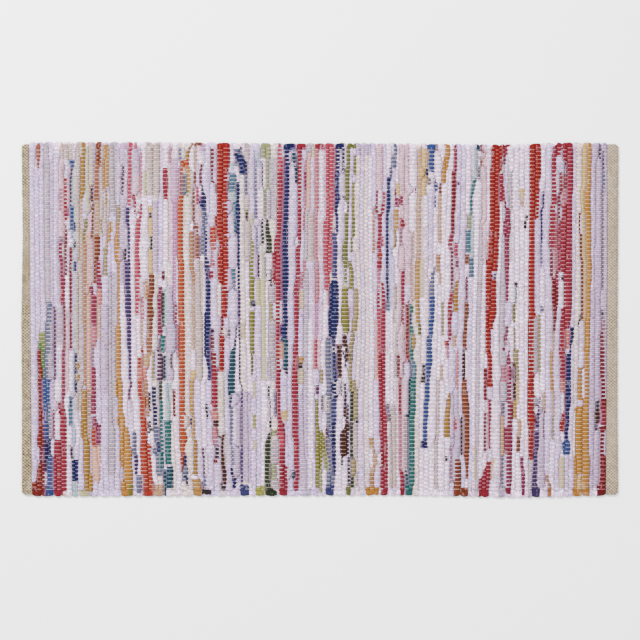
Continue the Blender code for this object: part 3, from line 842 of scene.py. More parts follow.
navy 31.2:92.0-92.4 32:92.0-92.5 33.3:91.8-92.3 34.2:91.8-92.1 35.6:91.3-92.0 40:91.1-92.0 45:91.2-91.7
    48.4:91.0-91.5 50.4
blue 50.3:90.7-91.9 52.4
dark_green 29:93.4-93.7 31
brown 12:93.6-93.9 20:93.8-94.1 30
amber 0.3:94.9-95.7 1.3:94.9-95.5 4:94.8-95.4 8.4:94.3-95.3 12:94.6-95.4 20:94.8-95.5 24:94.7-95.3
    30:94.5-95.2 35:94.3-95.1 44:94.1-95.0 53:94.1-95.3 56:93.9-95.1 59.2
caramel 38:93.3-93.8 40
amber 40:93.2-93.8 43.3
amber 44.5:92.8-93.9 53:92.6-93.9 56:92.6-93.1 58
amber 58:92.4-93.9 59.2
pale_gold 56.2:93.1-93.7 58
black 0.5:96.8-97.0 3
violet 1.5:97.4-97.6 5
slate 5:97.4-97.7 8
grey 8:97.3-97.5 25
black 28.3:97.1-97.5 29.5
mauve 29.5:97.2-97.7 32
maroon 32:97.0-97.5 34.6
dark_red 34.5:97.0-97.6 40:97.0-97.7 45
crimson 44.8:97.0-97.9 47.8
dark_red 47.8:96.9-97.6 50:96.8-97.5 53:96.8-97.8 57:96.6-97.8 58.1:96.4-97.8 59.3
black 43.4:96.3-96.7 45
dark_brown 45:96.1-96.9 47.2
black 47.2:96.1-96.4 48.4
slate 42.7:86.6-86.9 44
violet 44:86.4-86.7 46:86.2-86.7 48
violet 48.4:86.0-86.7 52:85.8-86.4 56:85.6-86.3 58.2:85.5-86.9 59.4
tan 42:87.4-87.7 45
brown 45:87.6-87.8 49.8
caramel 56:87.9-88.2 57.4:88.1-88.7 59.2
"""

# The woven bulges and the whites differ from rib to rib, the same way each run.
SEED = 7
BULGE_UNEVEN = 0.28         # mm, how much the bulges differ in height
WANDER = ((0.055, 0.19, 0.11, 0.4), (0.030, 0.67, 0.37, 2.1))   # cm, then waves along x and y, and a start

# ---- painting the chart ----
END_OVERLAP = 0.10          # cm that a rag runs on past its last reading
HOLD = 0.6                  # cm before a place on the chart where a rag's edges begin to move towards it
SNAP = 0.24                 # of a rib: an edge this near the line between two ribs lies on it
THIN = 0.57                 # cm: a strong rag that is nowhere as wide lies along the crest of one rib
THINNEST = 0.26             # cm: the least of its width that shows
SPREAD = 0.05               # cm that a strong rag swells past its reading on each side
STAYS = 0.70                # of a rib: it stays on its rib while its middle is read this near
PALE_FROM = 0.16            # the least of a pale cloth's three channels. Pale rags are laid first
REFLECTED = 0.55            # painted reflected light: how far a pale cloth takes up the colours beside it
REFLECT_COLUMNS = 4         # and from how many columns away
REFLECT_FADE = 1.6          # how fast that falls off over those columns
REFLECTS_FROM = 0.3         # the least of a cloth's three channels at which it takes them up in full
BESIDE = 0.25               # cm round a rag where its edge is still worked out
AROUND = 1.0                # cm on each side of a rag in which its points are looked for
DRAWN_WITHIN = 0.50         # of a rib: a line between ribs is drawn this far to meet a rag's edge
DRAWN_SOFT = 2              # rows over which such a line bends
NARROWEST = 0.36            # cm, a squeezed rib
NO_RAG = -9.0               # the cover, in cm, of a point that no rag is near
LEAST_COVER = -0.5          # cm, what that is raised to in the end

# ---- threads, seams and the finish's map ----
FLOAT = 0.30                # of a rib, from its centre to where a thread dips
FLOAT_RISE = 0.40           # of a thread's height, its centre over the pressed rag
# Across a thread and up it, as shares of its width and height.
THREAD_SECTION = ((0.0, 0.5), (0.5, 0.0), (0.0, -0.5), (-0.5, 0.0))
THREADS_APART = 5.0         # m, only until each thread's points are placed
SEAM = 0.004                # cm, between two lengths of the field
MAP_MARGIN = 0.004          # of the map's side, left free at its edges
WEAVE_SMOOTH = 75           # degrees: faces of the weave that meet at less are shaded as one

# ---- shades painted on the points of the field ----
VALLEY_SHADE = 0.30         # how dark the line between two ribs is, of the darkest hollow
VALLEY_SHARPNESS = 1.3      # the higher, the narrower that line's shade
PRESSED_SHADE = 0.90        # and the hollow beside a thread
PRESSED_REACH = 0.25        # how far that shade reaches towards the next thread
SHADED = (0.5, 59.1)        # cm, the heights between which the hollows are shaded
SHADED_SOFT = 0.8           # cm over which the shade comes in from there

# ---- finishes: noise scales are waves a metre along x, y and z ----
NOISE_RANGE = (0.3, 0.7)    # what most of a noise's values lie between
MATT = {"Specular IOR Level": 0.12, "Sheen Weight": 0.04, "Sheen Roughness": 0.5}
# Each surface's painted crease shade, its grain, its waves a metre along X and Y, and its relief.
RAG_SURFACE = (0.20, 0.10, 520.0, 170.0, 0.7 * MM)
WARP_SURFACE = (0.12, 0.10, 300.0, 900.0, 0.3 * MM)
HEADING_SURFACE = (0.12, 0.12, 500.0, 500.0, 0.35 * MM)
RELIEF_STRENGTH = 0.8
CREASE_RANGE = (0.30, 0.68)
CREASE_LIGHT = 0.6          # of a crease's painted shade, how much its ridge is lightened as a painted highlight
YARN_GRAIN = (1700.0, 1500.0, 1700.0)
YARN_RELIEF = 0.35          # of the creases'
ROUGHNESS = (0.97, 0.84)    # in a crease and on its ridge
FRAY_NOISE = (900.0, 420.0, 900.0)
FRAY = 0.07                 # cm that a rag's edge frays in and out
FRAY_SOFT = 0.02            # cm
PALE_BETWEEN = (0.08, 0.22)  # the least channel where a cloth begins to count as pale, and wholly does
# Printed over the pale cloths: noise scale, a shift that sets one print apart, the noise value from which
# it shows, how strongly, and what it multiplies the cloth's colour by.
PALE_PRINTS = (
    ((60.0, 40.0, 60.0), 0.0, 0.50, 0.42, (0.88, 0.62, 0.70)),
    ((70.0, 45.0, 70.0), 3.1, 0.50, 0.42, (0.62, 0.66, 0.86)),
    ((65.0, 40.0, 65.0), 6.3, 0.50, 0.50, (0.74, 0.72, 0.54)),
    ((130.0, 90.0, 130.0), 4.4, 0.50, 0.42, (0.84, 0.62, 0.72)),
    ((140.0, 80.0, 140.0), 1.7, 0.50, 0.42, (0.62, 0.66, 0.86)),
    ((240.0, 150.0, 240.0), 7.3, 0.50, 0.70, (0.76, 0.52, 0.62)),
    ((260.0, 160.0, 260.0), 2.2, 0.50, 0.70, (0.52, 0.56, 0.76)),
    ((230.0, 170.0, 230.0), 8.4, 0.52, 0.60, (0.64, 0.60, 0.48)),
    # the last row's dark marks are painted shade, the shadows round loose strands
    ((280.0, 240.0, 280.0), 5.5, 0.54, 0.85, (0.25, 0.20, 0.26)),
)
PRINT_SOFT = 0.16           # of a noise value, the softness of a print's edge
# Painted shadow: the fine dark lines over them, the shade at loose strands' edges. Then the washed out
# patches of the strong cloths.
SHADOW_LINE_NOISE = (260.0, 130.0, 260.0)
SHADOW_LINE_WIDTH = (0.008, 0.045)  # of a noise value, from a painted shadow line's middle to where it fades and ends
SHADOW_LINE_STRENGTH = 0.85
SHADOW_LINE_COLOUR = (0.10, 0.08, 0.12, 1.0)
WORN_NOISE = (260.0, 90.0, 260.0)
WORN_BETWEEN = (0.58, 0.76)
WORN_STRENGTH = 0.15
WORN_COLOUR = (0.72, 0.66, 0.72, 1.0)
HOLLOW_BETWEEN = (0.06, 0.80)  # the painted depth from which a hollow is shaded, and where it is darkest
DARKEST = (0.36, 0.14)      # how bright that is, of a strong cloth and of a pale one
# The warp's two-ply twist, and how it takes up the rag below it, partly as painted reflected light and
# painted shade.
TWIST_LEAN = 0.9            # radians
TWIST_SCALE = 260.0
RAG_LIGHT = 0.34            # the power of the rag's colour that lights a thread, as painted reflected light
RAG_SHOWS = 0.15            # how much of the rag shows through one
FURROW_SHADE = 0.62               # painted shade: how bright the warp is over a pale rag, in the furrow between its bumps
FURROW_SHADE_BETWEEN = (0.15, 0.45)  # the rag's least channel where that begins, and where it is all there
# The headings' twill with painted shade in its hollows, the slubs in its yarn and its faded patches.
HEADING_TWILL = 5.2 * MM    # from one slanting rib to the next
TWILL_SLOPES = ((0.9, 1.0), (-0.9, 0.7))    # each way that it slants, and how strongly
TWILL_BETWEEN = (-0.2, 0.9)  # the height on a rib where the hollow's shade begins to give way, and is gone
TWILL_NOISE = (500.0, 500.0, 500.0)
TWILL_JITTER = 0.8 * MM
SLUB_NOISE = (300.0, 240.0, 300.0)
SLUB_BETWEEN = (0.36, 0.62)
SLUB_SHADE = (1.25, 0.45)
FADE_NOISE = (60.0, 25.0, 60.0)
FADE_BETWEEN = (0.35, 0.7)
FADE_STRENGTH = 0.18
FADE_TO_RIGHT = 0.20        # and at the rug's right end

# ---- stage ----
FLOOR_SIZE = 8.0
FLOOR_DROP = 0.2 * MM       # so that the floor and the rug don't share a plane
FLOOR_COLOUR = (0.93, 0.93, 0.93)
LIGHTS = (                  # name, place, size, watts
    ("window_light", (-1.6, 1.8, 2.6), 1.4, 460.0),
    ("fill_light", (1.8, -1.2, 2.8), 2.4, 66.0),
)
WORLD_COLOUR = (1.0, 1.0, 1.0)
WORLD_STRENGTH = 1.40
CAMERA_HEIGHT = 2.537
CAMERA_LENS = 85.0
SENSOR_WIDTH = 36.0


def linear(shade):
    """A colour given in 255ths, as seen, in Blender's linear numbers."""
    parts = [part / 255 for part in shade]
    return tuple(part / 12.92 if part <= 0.04045 else ((part + 0.055) / 1.055) ** 2.4 for part in parts)


def cloth_colour(shade):
    """The linear colour that a cloth needs to be seen as that shade in studio light.

    The less pale, the deeper.
    """
    seen = linear(shade)
    strongest = max(seen)
    depth = DYE_DEPTH + PALE_LIFT * min(seen)
    return tuple(part * (part / strongest) ** DYE_PURITY * depth for part in seen)


def words(name):
    return name.replace("_", " ").capitalize()


# ---- what a user can change ----


class RugSizes(bpy.types.PropertyGroup):
    """The sizes of the weave."""

    warp_pitch: FloatProperty(
        name="Warp pitch", description="From one warp thread to the next", default=3.3 * MM, unit="LENGTH")
    warp_ends: IntProperty(name="Warp ends", description="Threads across the rug", default=174, min=10)
    first_warp: FloatProperty(
        name="First warp", description="From the rug's top edge in to its first thread",
        default=11.0 * MM, unit="LENGTH")
    thread_width: FloatProperty(
        name="Thread width", description="Of a warp thread, seen from above",
        default=1.6 * MM, unit="LENGTH")
    thread_height: FloatProperty(
        name="Thread height", description="Of a warp thread, pulled flat", default=1.3 * MM, unit="LENGTH")
    rib_base: FloatProperty(
        name="Rib base", description="The part of a rib's height that doesn't hang on its width",
        default=4.6 * MM, unit="LENGTH")
    rib_growth: FloatProperty(
        name="Rib growth", description="How much of a rib's width is added to its height", default=0.28)
    press: FloatProperty(
        name="Press", description="How far a thread pulls a rib in", default=1.4 * MM, unit="LENGTH")
    side_press: FloatProperty(
        name="Side press", description="How far a swollen rib leans over its pressed neighbour",
        default=0.65 * MM, unit="LENGTH")


def colour_property(dye, shade):
    return FloatVectorProperty(
        name=words(dye), description=f"The {words(dye).lower()} cloth or thread", subtype="COLOR",
        size=3, min=0.0, max=1.0, default=cloth_colour(shade))


class RugDyes(bpy.types.PropertyGroup):
    """The colours of the rags."""

    __annotations__ = {dye: colour_property(dye, shade) for dye, shade in DYES.items()}


class RugCottons(bpy.types.PropertyGroup):
    """The colours of the cotton."""

    __annotations__ = {part: colour_property(part, shade) for part, shade in COTTONS.items()}


# ---- the rug's layout ----


def guide_places(heights):
    """Where each guide rib runs at each height: [height, guide], in cm."""
    step = GUIDE_HEIGHTS[1] - GUIDE_HEIGHTS[0]
    last = len(GUIDE_HEIGHTS) - 1
    places = np.clip((np.asarray(heights, float) - GUIDE_HEIGHTS[0]) / step, 0, last)
    i = np.minimum(places.astype(int), last - 1)
    t = (places - i)[:, None]
    table = np.array([x_values for _, x_values in GUIDES]).T
    before, start, end, after = (table[np.clip(i + k, 0, last)] for k in (-1, 0, 1, 2))
    rise = t * t * (3 - 2 * t)
    leave = t * (1 - t) ** 2
    arrive = t * t * (t - 1)
    return start + (end - start) * rise + (end - before) / 2 * leave + (after - start) / 2 * arrive


GUIDE_NUMBERS = [number for number, _ in GUIDES]


def rib_x(numbers, heights):
    """Where ribs of those numbers run at those heights: [height, number], in cm."""
    return np.array([np.interp(numbers, GUIDE_NUMBERS, row) for row in guide_places(heights)])


def rib_of(numbers):
    """The rib that each number lies on."""
    return np.round(np.asarray(numbers) + TIE)


def selvedge_y(x, selvedge):
    """The mean y of the TOP or BOTTOM selvedge at x."""
    return np.interp(x, [row[0] for row in SELVEDGES], [row[selvedge] for row in SELVEDGES])


def turn_places(numbers, singles):
    """0 at the middle of the turn that holds each number, 1 at the turn's two ends."""
    lines = [-0.5]
    while lines[-1] < PICKS - 1:
        rib = round(lines[-1] + 0.5)
        alone = rib in singles or rib == PICKS - 1
        lines.append(lines[-1] + (1 if alone else 2))
    lines = np.array(lines)
    i = np.clip(np.searchsorted(lines, numbers, side="right") - 1, 0, len(lines) - 2)
    return np.abs(2 * (numbers - lines[i]) / (lines[i + 1] - lines[i]) - 1)


def wander(x, y):
    """How far the warp threads drift along y, in cm."""
    return sum(reach * np.sin(x * along + y * across + start) for reach, along, across, start in WANDER)


def waves(places, table):
    """The sum of a table's waves: each row is a reach, waves along the places, and a start."""
    return sum(reach * np.sin(places * along + start) for reach, along, start in table)


def to_row(x, y, z):
    """Rug centimetres, with the height in mm, as the frame's metres."""
    return np.stack([(x - RUG_LENGTH / 2) * CM, (RUG_MIDDLE_Y - y) * CM, z * MM], axis=-1)


class Layout:
    """The field's columns and rows, and everything that is worked out once for them all."""

    def __init__(self, sizes):
        self.sizes = sizes
        self.pitch = sizes.warp_pitch / CM
        self.warps = sizes.first_warp / CM + self.pitch * np.arange(sizes.warp_ends)
        self.rows = sizes.first_warp / CM + self.pitch / 2 * np.arange(2 * sizes.warp_ends - 1)
        steps = (VALLEY, -SHOULDER, 0.0, SHOULDER)
        self.columns = np.array([rib + step for rib in range(PICKS) for step in steps] + [PICKS - 0.5])
        self.ribs = np.clip(rib_of(self.columns), 0, PICKS - 1).astype(int)
        shares = [0.0, SHOULDER_RISE, 1.0, SHOULDER_RISE]
        self.rise = np.array(shares * PICKS + [0.0])
        self.lines = np.arange(PICKS + 1) - 0.5
        self.line_x = self.drawn_lines()
        dice = np.random.default_rng(SEED)
        self.uneven = dice.normal(0, BULGE_UNEVEN, (PICKS, len(self.rows)))
        odds = np.array([often for _, often in WHITES], float)
        self.white = dice.choice(len(WHITES), PICKS, p=odds / odds.sum())

    def drawn_lines(self):
        """Where the lines between ribs run, each drawn to the rags' edges: [row, line], in cm."""
        plain = rib_x(self.lines, self.rows)
        drawn = plain.copy()
        for dye, stations in chart_rows():
            rows = np.nonzero((self.rows > stations[0][0]) & (self.rows < stations[-1][0]))[0]
            edges = read_edges(stations, self.rows[rows])
            if is_thin(dye, stations) and len(rows):
                middle = sum(edges) / 2
                half = np.maximum(edges[1] - edges[0], NARROWEST) / 2
                numbers = row_by_row(middle, plain[rows], self.lines)
                ribs = steady_ribs(numbers)
                near = np.abs(numbers - ribs) < DRAWN_WITHIN
                drawn[rows[near], ribs[near]] = (middle - half)[near]
                drawn[rows[near], ribs[near] + 1] = (middle + half)[near]
                continue
            for x in edges:
                numbers = row_by_row(x, plain[rows], self.lines)
                line = (numbers + 1).astype(int)    # the nearest one, as line k lies at k - 0.5
                near = (line > 0) & (line < PICKS) & (np.abs(numbers - self.lines[line]) < DRAWN_WITHIN)
                drawn[rows[near], line[near]] = x[near]
        offset = drawn - plain
        reach = np.arange(-3 * DRAWN_SOFT, 3 * DRAWN_SOFT + 1)
        weights = np.exp(-0.5 * (reach / DRAWN_SOFT) ** 2)
        padded = np.pad(offset, ((len(reach) // 2, len(reach) // 2), (0, 0)), mode="edge")
        soft = sum(w * padded[k:k + len(offset)] for k, w in enumerate(weights / weights.sum()))
        narrowest = NARROWEST * np.arange(PICKS + 1)
        placed = np.maximum.accumulate(plain + soft - narrowest, axis=1) + narrowest
        placed[:, -1] = plain[:, -1]
        return placed

    def x_at(self, numbers, row_index):
        """Where ribs of those numbers run in whole rows, in cm: [row, number]."""
        return np.array([np.interp(numbers, self.lines, self.line_x[row]) for row in row_index])

    def press(self, numbers, row_index):
        """1 where a warp thread lies over a rib, -1 where it runs under it, 0 between threads."""
        return np.cos(math.pi * (row_index / 2 + rib_of(numbers)))

    def crest(self, numbers, row_index):
        """The height of the ribs' crests, in mm: [row, number]."""
        ribs = np.clip(rib_of(numbers), 0, PICKS - 1)
        width = self.x_at(ribs + 0.5, row_index) - self.x_at(ribs - 0.5, row_index)
        return self.sizes.rib_base / MM + self.sizes.rib_growth * width * CM / MM

    def face(self, row_index, heights, under):
        """x, y and z of the field's upper or lower face over whole rows: [row, column]."""
        sizes = self.sizes
        x = self.x_at(self.columns, row_index)
        press = self.press(self.columns[None, :], row_index[:, None])
        facing = -press if under else press
        pulled_in = sizes.press / MM * ((facing + 1) / 2) ** DENT_SHARPNESS
        swell = self.uneven[self.ribs][:, row_index].T
        top = self.crest(self.columns, row_index)
        if under:
            crest = pulled_in + UNDER_SWELL * np.abs(swell)
            z = VALLEY_UNDER + (crest - VALLEY_UNDER) * self.rise
        else:
            crest = top - pulled_in + swell
            z = VALLEY_TOP + (crest - VALLEY_TOP) * self.rise
        lean = sizes.side_press / CM * np.cos(math.pi * (row_index[:, None] / 2 + np.floor(self.columns)))
        is_valley = self.rise == 0
        is_valley[[0, -1]] = False
        x = x - np.where(is_valley, -lean if under else lean, 0.0)
        beside = self.columns - self.ribs
        x = x - np.where(is_valley, 0.0, np.sign(beside) * facing * sizes.side_press / CM * SHOULDER_LEAN)
        y = heights[:, None] + wander(x, heights[:, None])
        return x, y, z

    def turn(self, selvedge, steps, first_row, under):
        """The rows that round off one selvedge, from its outermost line in to the first warp thread."""
        singles = TOP_SINGLE_TURNS if selvedge == TOP else BOTTOM_SINGLE_TURNS
        inward = 1 if selvedge == TOP else -1
        place = turn_places(self.columns, singles)
        first_x, first_y, first_z = first_row
        edge_x = self.x_at(self.columns, [0 if selvedge == TOP else len(self.rows) - 1])[0]
        edge_y = selvedge_y(edge_x, selvedge) + inward * TURN_DEPTH * place ** TURN_ENDS
        edge_y = edge_y + waves(edge_x, EDGE_WAVES)
        crest = 0.0 if under else VALLEY_TOP + (TURN_HEIGHT - VALLEY_TOP) * (1 - place ** TURN_SINKS)
        xs, ys, zs = [], [], []
        for share, rise in steps:
            late = share ** 2
            xs.append(edge_x * (1 - share) + first_x * share)
            ys.append(edge_y + (first_y - edge_y) * share)
            bulb = TURN_MIDDLE + (crest - TURN_MIDDLE) * rise
            zs.append(bulb * (1 - late) + first_z * late)
        return np.array(xs), np.array(ys), np.array(zs)

    def ring(self):
        """All round the field, [row, column]: over it from the top selvedge, and back under it."""
        over_index = np.arange(len(self.rows))
        under_index = over_index[::2]
        over = self.face(over_index, self.rows, False)
        under = self.face(under_index, self.rows[::2], True)
        blocks = [
            self.turn(TOP, TURN_TOP, [part[0] for part in over], False),
            over,
            [part[::-1] for part in self.turn(BOTTOM, TURN_TOP, [part[-1] for part in over], False)],
            self.turn(BOTTOM, TURN_UNDER, [part[-1] for part in under], True),
            [part[::-1] for part in under],
            [part[::-1] for part in self.turn(TOP, TURN_UNDER, [part[0] for part in under], True)],
        ]
        x, y, z = (np.concatenate([block[k] for block in blocks]) for k in range(3))
        return x, y, np.maximum(z, 0.0)

    def ring_heights(self):
        """The plain y of each row of the ring, for the chart, and which row is the bottom selvedge."""
        top, bottom = PLAIN_EDGES
        reach_in = self.rows[0] - top
        reach_out = self.rows[-1] - bottom
        first = [top + reach_in * share for share, _ in TURN_TOP]
        last = [bottom + reach_out * share for share, _ in TURN_TOP][::-1]
        under_last = [bottom + reach_out * share for share, _ in TURN_UNDER]
        under_first = [top + reach_in * share for share, _ in TURN_UNDER][::-1]
        over = np.concatenate([first, self.rows, last])
        under = np.concatenate([under_last, self.rows[::2][::-1], under_first])
        return np.concatenate([over, under]), len(over) - 1


# ---- the chart ----


def chart_rows():
    """(dye, [(y, left, right), ...]) for each line of the chart, the last place closing the rag."""
    rags = []
    for line in CHART.strip().replace("\n    ", " ").splitlines():
        dye, *places, end = line.split()
        stations = []
        for place in places:
            y, edges = place.split(":")
            left, right = edges.split("-")
            stations.append((float(y), float(left), float(right)))
        stations.append((float(end), stations[-1][1], stations[-1][2]))
        kept = [(late[0] - HOLD, *early[1:]) for early, late in zip(stations, stations[1:])
                if late[0] - early[0] > 2 * HOLD]
        spread = 0.0 if is_pale(dye) else SPREAD
        rags.append((dye, sorted((y, left - spread, right + spread) for y, left, right in stations + kept)))
    return sorted(rags, key=lambda rag: not is_pale(rag[0]))


def read_edges(stations, heights):
    """A rag's left and right edge at those heights, in cm."""
    ys = [y for y, _, _ in stations]
    return [np.interp(heights, ys, [station[edge] for station in stations]) for edge in (1, 2)]


def is_pale(dye):
    return min(linear(DYES[dye])) > PALE_FROM


def is_thin(dye, stations):
    return not is_pale(dye) and max(right - left for _, left, right in stations) < THIN


def steady_ribs(numbers):
    """The rib that a thin rag lies on, row by row: it stays on one rib while its middle is near it."""
    ribs = [round(numbers[0])]
    for number in numbers[1:]:
        ribs.append(ribs[-1] if abs(number - ribs[-1]) < STAYS else round(number))
    return np.clip(ribs, 0, PICKS - 1).astype(int)


def laid_edges(left, right, thin, lines_x):
    """A rag's edges in rib numbers, row by row.

    They lie on a line between ribs where they nearly meet it, and those of a thin rag lie within one rib.
    """
    if not thin:
        laid = []
        for edge in (left, right):
            line = np.floor(edge) + 0.5
            laid.append(np.where(np.abs(edge - line) < SNAP, line, edge))
        return laid
    middle = (left + right) / 2
    ribs = steady_ribs(middle)
    row = np.arange(len(ribs))
    least = THINNEST / 2 / (lines_x[row, ribs + 1] - lines_x[row, ribs])
    half = np.clip((right - left) / 2, least, 0.5)
    middle = np.clip(middle, ribs - 0.5 + half, ribs + 0.5 - half)
    return middle - half, middle + half


def row_by_row(values, known, wanted):
    """Each row's value carried from a known scale to the wanted one. A scale may differ from row to row."""
    scales = np.broadcast_arrays(known, wanted)
    return np.array([np.interp(value, one, other) for value, one, other in zip(values, *scales)])


def painted(layout, dyes):
    """The chart laid over the ring: ground colour, rag colour, and how far inside a rag each point is."""
    heights, _ = layout.ring_heights()
    nearest = np.clip(np.round((heights - layout.rows[0]) / (layout.pitch / 2)), 0, len(layout.rows) - 1)
    lines_x = layout.line_x[nearest.astype(int)]
    x = layout.x_at(layout.columns, nearest.astype(int))
    whites = np.array([getattr(dyes, name) for name, _ in WHITES])
    ground = np.broadcast_to(whites[layout.white[layout.ribs]], (*x.shape, 3)).copy()
    rag = ground.copy()
    cover = np.full(x.shape, NO_RAG)
    owner = np.full(x.shape, -1)
    for dye, stations in chart_rows():
        start, end = stations[0][0], stations[-1][0]
        rows = np.nonzero((heights > start - BESIDE) & (heights < end + BESIDE))[0]
        read = read_edges(stations, heights[rows])
        numbers = [row_by_row(edge, lines_x[rows], layout.lines) for edge in read]
        laid = laid_edges(*numbers, is_thin(dye, stations), lines_x[rows])
        left_x, right_x = (row_by_row(edge, layout.lines, lines_x[rows]) for edge in laid)
        near_x = (x[rows] > left_x.min() - AROUND) & (x[rows] < right_x.max() + AROUND)
        columns = np.nonzero(near_x.any(axis=0))[0]
        window = np.ix_(rows, columns)
        inside = np.minimum(x[window] - left_x[:, None], right_x[:, None] - x[window])
        past_end = np.maximum(start - heights[rows], heights[rows] - end)
        inside = np.minimum(inside, (END_OVERLAP - past_end)[:, None])
        dye_number = list(DYES).index(dye)
        old_cover = cover[window]
        same = owner[window] == dye_number
        near = inside > -BESIDE
        laid_over = near & ~same & (old_cover > 0)
        take = near & ((inside > old_cover) | laid_over | (~same & (inside > 0)))
        ground[window] = np.where(laid_over[..., None], rag[window], ground[window])
        rag[window] = np.where(take[..., None], np.array(getattr(dyes, dye)), rag[window])
        cover[window] = np.where(take, inside, old_cover)
        owner[window] = np.where(take, dye_number, owner[window])
    # painted reflected light: a strong rag colours the pale ones beside it a little
    shown = np.where(cover[..., None] > 0, rag, ground)
    steps = np.arange(-REFLECT_COLUMNS, REFLECT_COLUMNS + 1)
    weights = np.exp(-(steps / REFLECT_COLUMNS * REFLECT_FADE) ** 2)
    padded = np.pad(shown, ((0, 0), (REFLECT_COLUMNS, REFLECT_COLUMNS), (0, 0)), mode="edge")
    nearby = sum(w * padded[:, k:k + shown.shape[1]] for k, w in enumerate(weights / weights.sum()))
    pale = np.clip(ground.min(axis=-1, keepdims=True) / REFLECTS_FROM, 0, 1) * REFLECTED
    ground = ground * (1 - pale) + nearby * pale
    return ground, rag, np.maximum(cover, LEAST_COVER)


# ---- making meshes ----


def sleeve(name, stations, ring):
    """A closed tube lying along X: a grid rolled up, with its long rims bridged and its ends filled.

    Point number i * ring + j is at station i and place j round the tube.
    """
    bpy.ops.object.select_all(action="DESELECT")
    bpy.ops.mesh.primitive_grid_add(x_subdivisions=ring - 1, y_subdivisions=stations - 1, size=2)
    tube = bpy.context.object
    tube.name = tube.data.name = name
    mesh = tube.data
    i, j = np.divmod(np.arange(len(mesh.vertices)), ring)
    angle = 2 * math.pi * j / ring
    place(mesh, np.stack([i / stations, np.cos(angle), -np.sin(angle)], axis=-1))
    ends = np.empty(2 * len(mesh.edges), int)
    mesh.edges.foreach_get("vertices", ends)
    round_place = ends.reshape(-1, 2) % ring
    rims = (round_place == 0).all(axis=1) | (round_place == ring - 1).all(axis=1)
    for elements in (mesh.vertices, mesh.polygons):
        elements.foreach_set("select", np.zeros(len(elements), bool))
    mesh.edges.foreach_set("select", rims)
    bpy.context.tool_settings.mesh_select_mode = (False, True, False)
    bpy.ops.object.mode_set(mode="EDIT")
    bpy.ops.mesh.bridge_edge_loops()
    bpy.ops.mesh.select_all(action="SELECT")
    bpy.ops.mesh.fill_holes(sides=0)
    bpy.ops.object.mode_set(mode="OBJECT")
    return tube


def place(mesh, points):
    mesh.vertices.foreach_set("co", np.ascontiguousarray(points, np.float32).ravel())
    mesh.update()


def corners_of(mesh, ring, stations):
    """For each corner of each face: its tube, its station, its place round the tube, and its face's side.

    In the strip that closes the tube, from the last place to the first, the first counts as place ring.
    """
    points = np.empty(len(mesh.loops), int)
    first = np.empty(len(mesh.polygons), int)
    total = np.empty(len(mesh.polygons), int)
    mesh.loops.foreach_get("vertex_index", points)
    mesh.polygons.foreach_get("loop_start", first)
    mesh.polygons.foreach_get("loop_total", total)
    tube, point = np.divmod(points, ring * stations)
    i, j = np.divmod(point, ring)
    low = np.repeat(np.minimum.reduceat(j, first), total)
    high = np.repeat(np.maximum.reduceat(j, first), total)
    closing = (high - low > 1) & (np.repeat(total, total) == 4)
    side = np.where(closing, ring - 1, low)
    return tube, i, np.where(closing & (j == 0), ring, j), side


def unfold(mesh, u, v):
    """A map of the piece's skin."""
    layer = mesh.uv_layers.new(name="OFBake")
    layer.data.foreach_set("uv", np.stack([u, v], axis=-1).astype(np.float32).ravel())


def margined(share):
    """A share of the map's side, drawn in from its edges."""
    return MAP_MARGIN + (1 - 2 * MAP_MARGIN) * share


def point_colour(mesh, name, colours):
    colours = np.asarray(colours, np.float32).reshape(-1, 3)
    layer = mesh.attributes.new(name, "FLOAT_COLOR", "POINT")
    layer.data.foreach_set("color", np.c_[colours, np.ones(len(colours), np.float32)].ravel())


def point_value(mesh, name, values):
    layer = mesh.attributes.new(name, "FLOAT", "POINT")
    layer.data.foreach_set("value", np.ascontiguousarray(values, np.float32).ravel())


def finished(piece, material, node_name, smooth=WEAVE_SMOOTH):
    """Turns the faces outwards, smooths them, gives the piece its material, hangs it from the rug's root
    and hides the frame's part that it stands for.
    """
    bpy.ops.object.select_all(action="DESELECT")
    piece.select_set(True)
    bpy.context.view_layer.objects.active = piece
    bpy.ops.object.mode_set(mode="EDIT")
    bpy.ops.mesh.select_all(action="SELECT")
    bpy.ops.mesh.normals_make_consistent(inside=False)
    bpy.ops.object.mode_set(mode="OBJECT")
    bpy.ops.object.shade_smooth_by_angle(angle=math.radians(smooth))
    piece.data.materials.clear()
    piece.data.materials.append(material)
    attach(piece, "root")
    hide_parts(node_name)
    return piece


# ---- finishes ----


def plug(tree, made, inputs):
    """Gives a node its inputs, as values or as sockets to link."""
    for key, value in inputs.items():
        if isinstance(value, bpy.types.NodeSocket):
            tree.links.new(value, made.inputs[key])
        else:
            made.inputs[key].default_value = value


def node(tree, kind, inputs=None, **settings):
    """One shader node, with its settings and its inputs."""
    made = tree.nodes.new("ShaderNode" + kind)
    for setting, value in settings.items():
        setattr(made, setting, value)
    plug(tree, made, inputs or {})
    return made


def math_node(tree, operation, first, second=0.0):
    return node(tree, "Math", {0: first, 1: second}, operation=operation).outputs[0]


def remap(tree, value, between, to, smooth=False):
    """A value carried from one range to another, and held at its ends."""
    kind = "SMOOTHSTEP" if smooth else "LINEAR"
    ends = dict(zip(("From Min", "From Max", "To Min", "To Max"), (*between, *to)))
    return node(tree, "MapRange", {"Value": value, **ends}, interpolation_type=kind).outputs["Result"]


def blended(tree, factor, first, second, how="MIX"):
    mix = node(tree, "Mix", {0: factor, 6: first, 7: second}, data_type="RGBA", blend_type=how)
    return mix.outputs[2]


def shaded(tree, colour, shade):
    """A colour darkened by a value, 1 leaving it as it is."""
    grey = node(tree, "CombineColor", {0: shade, 1: shade, 2: shade}).outputs[0]
    return blended(tree, 1.0, colour, grey, "MULTIPLY")


def opaque(colour):
    return (*colour, 1.0)


def point_layer(tree, name, output="Color"):
    """What is painted on the points under that name."""
    return node(tree, "Attribute", attribute_name=name).outputs[output]


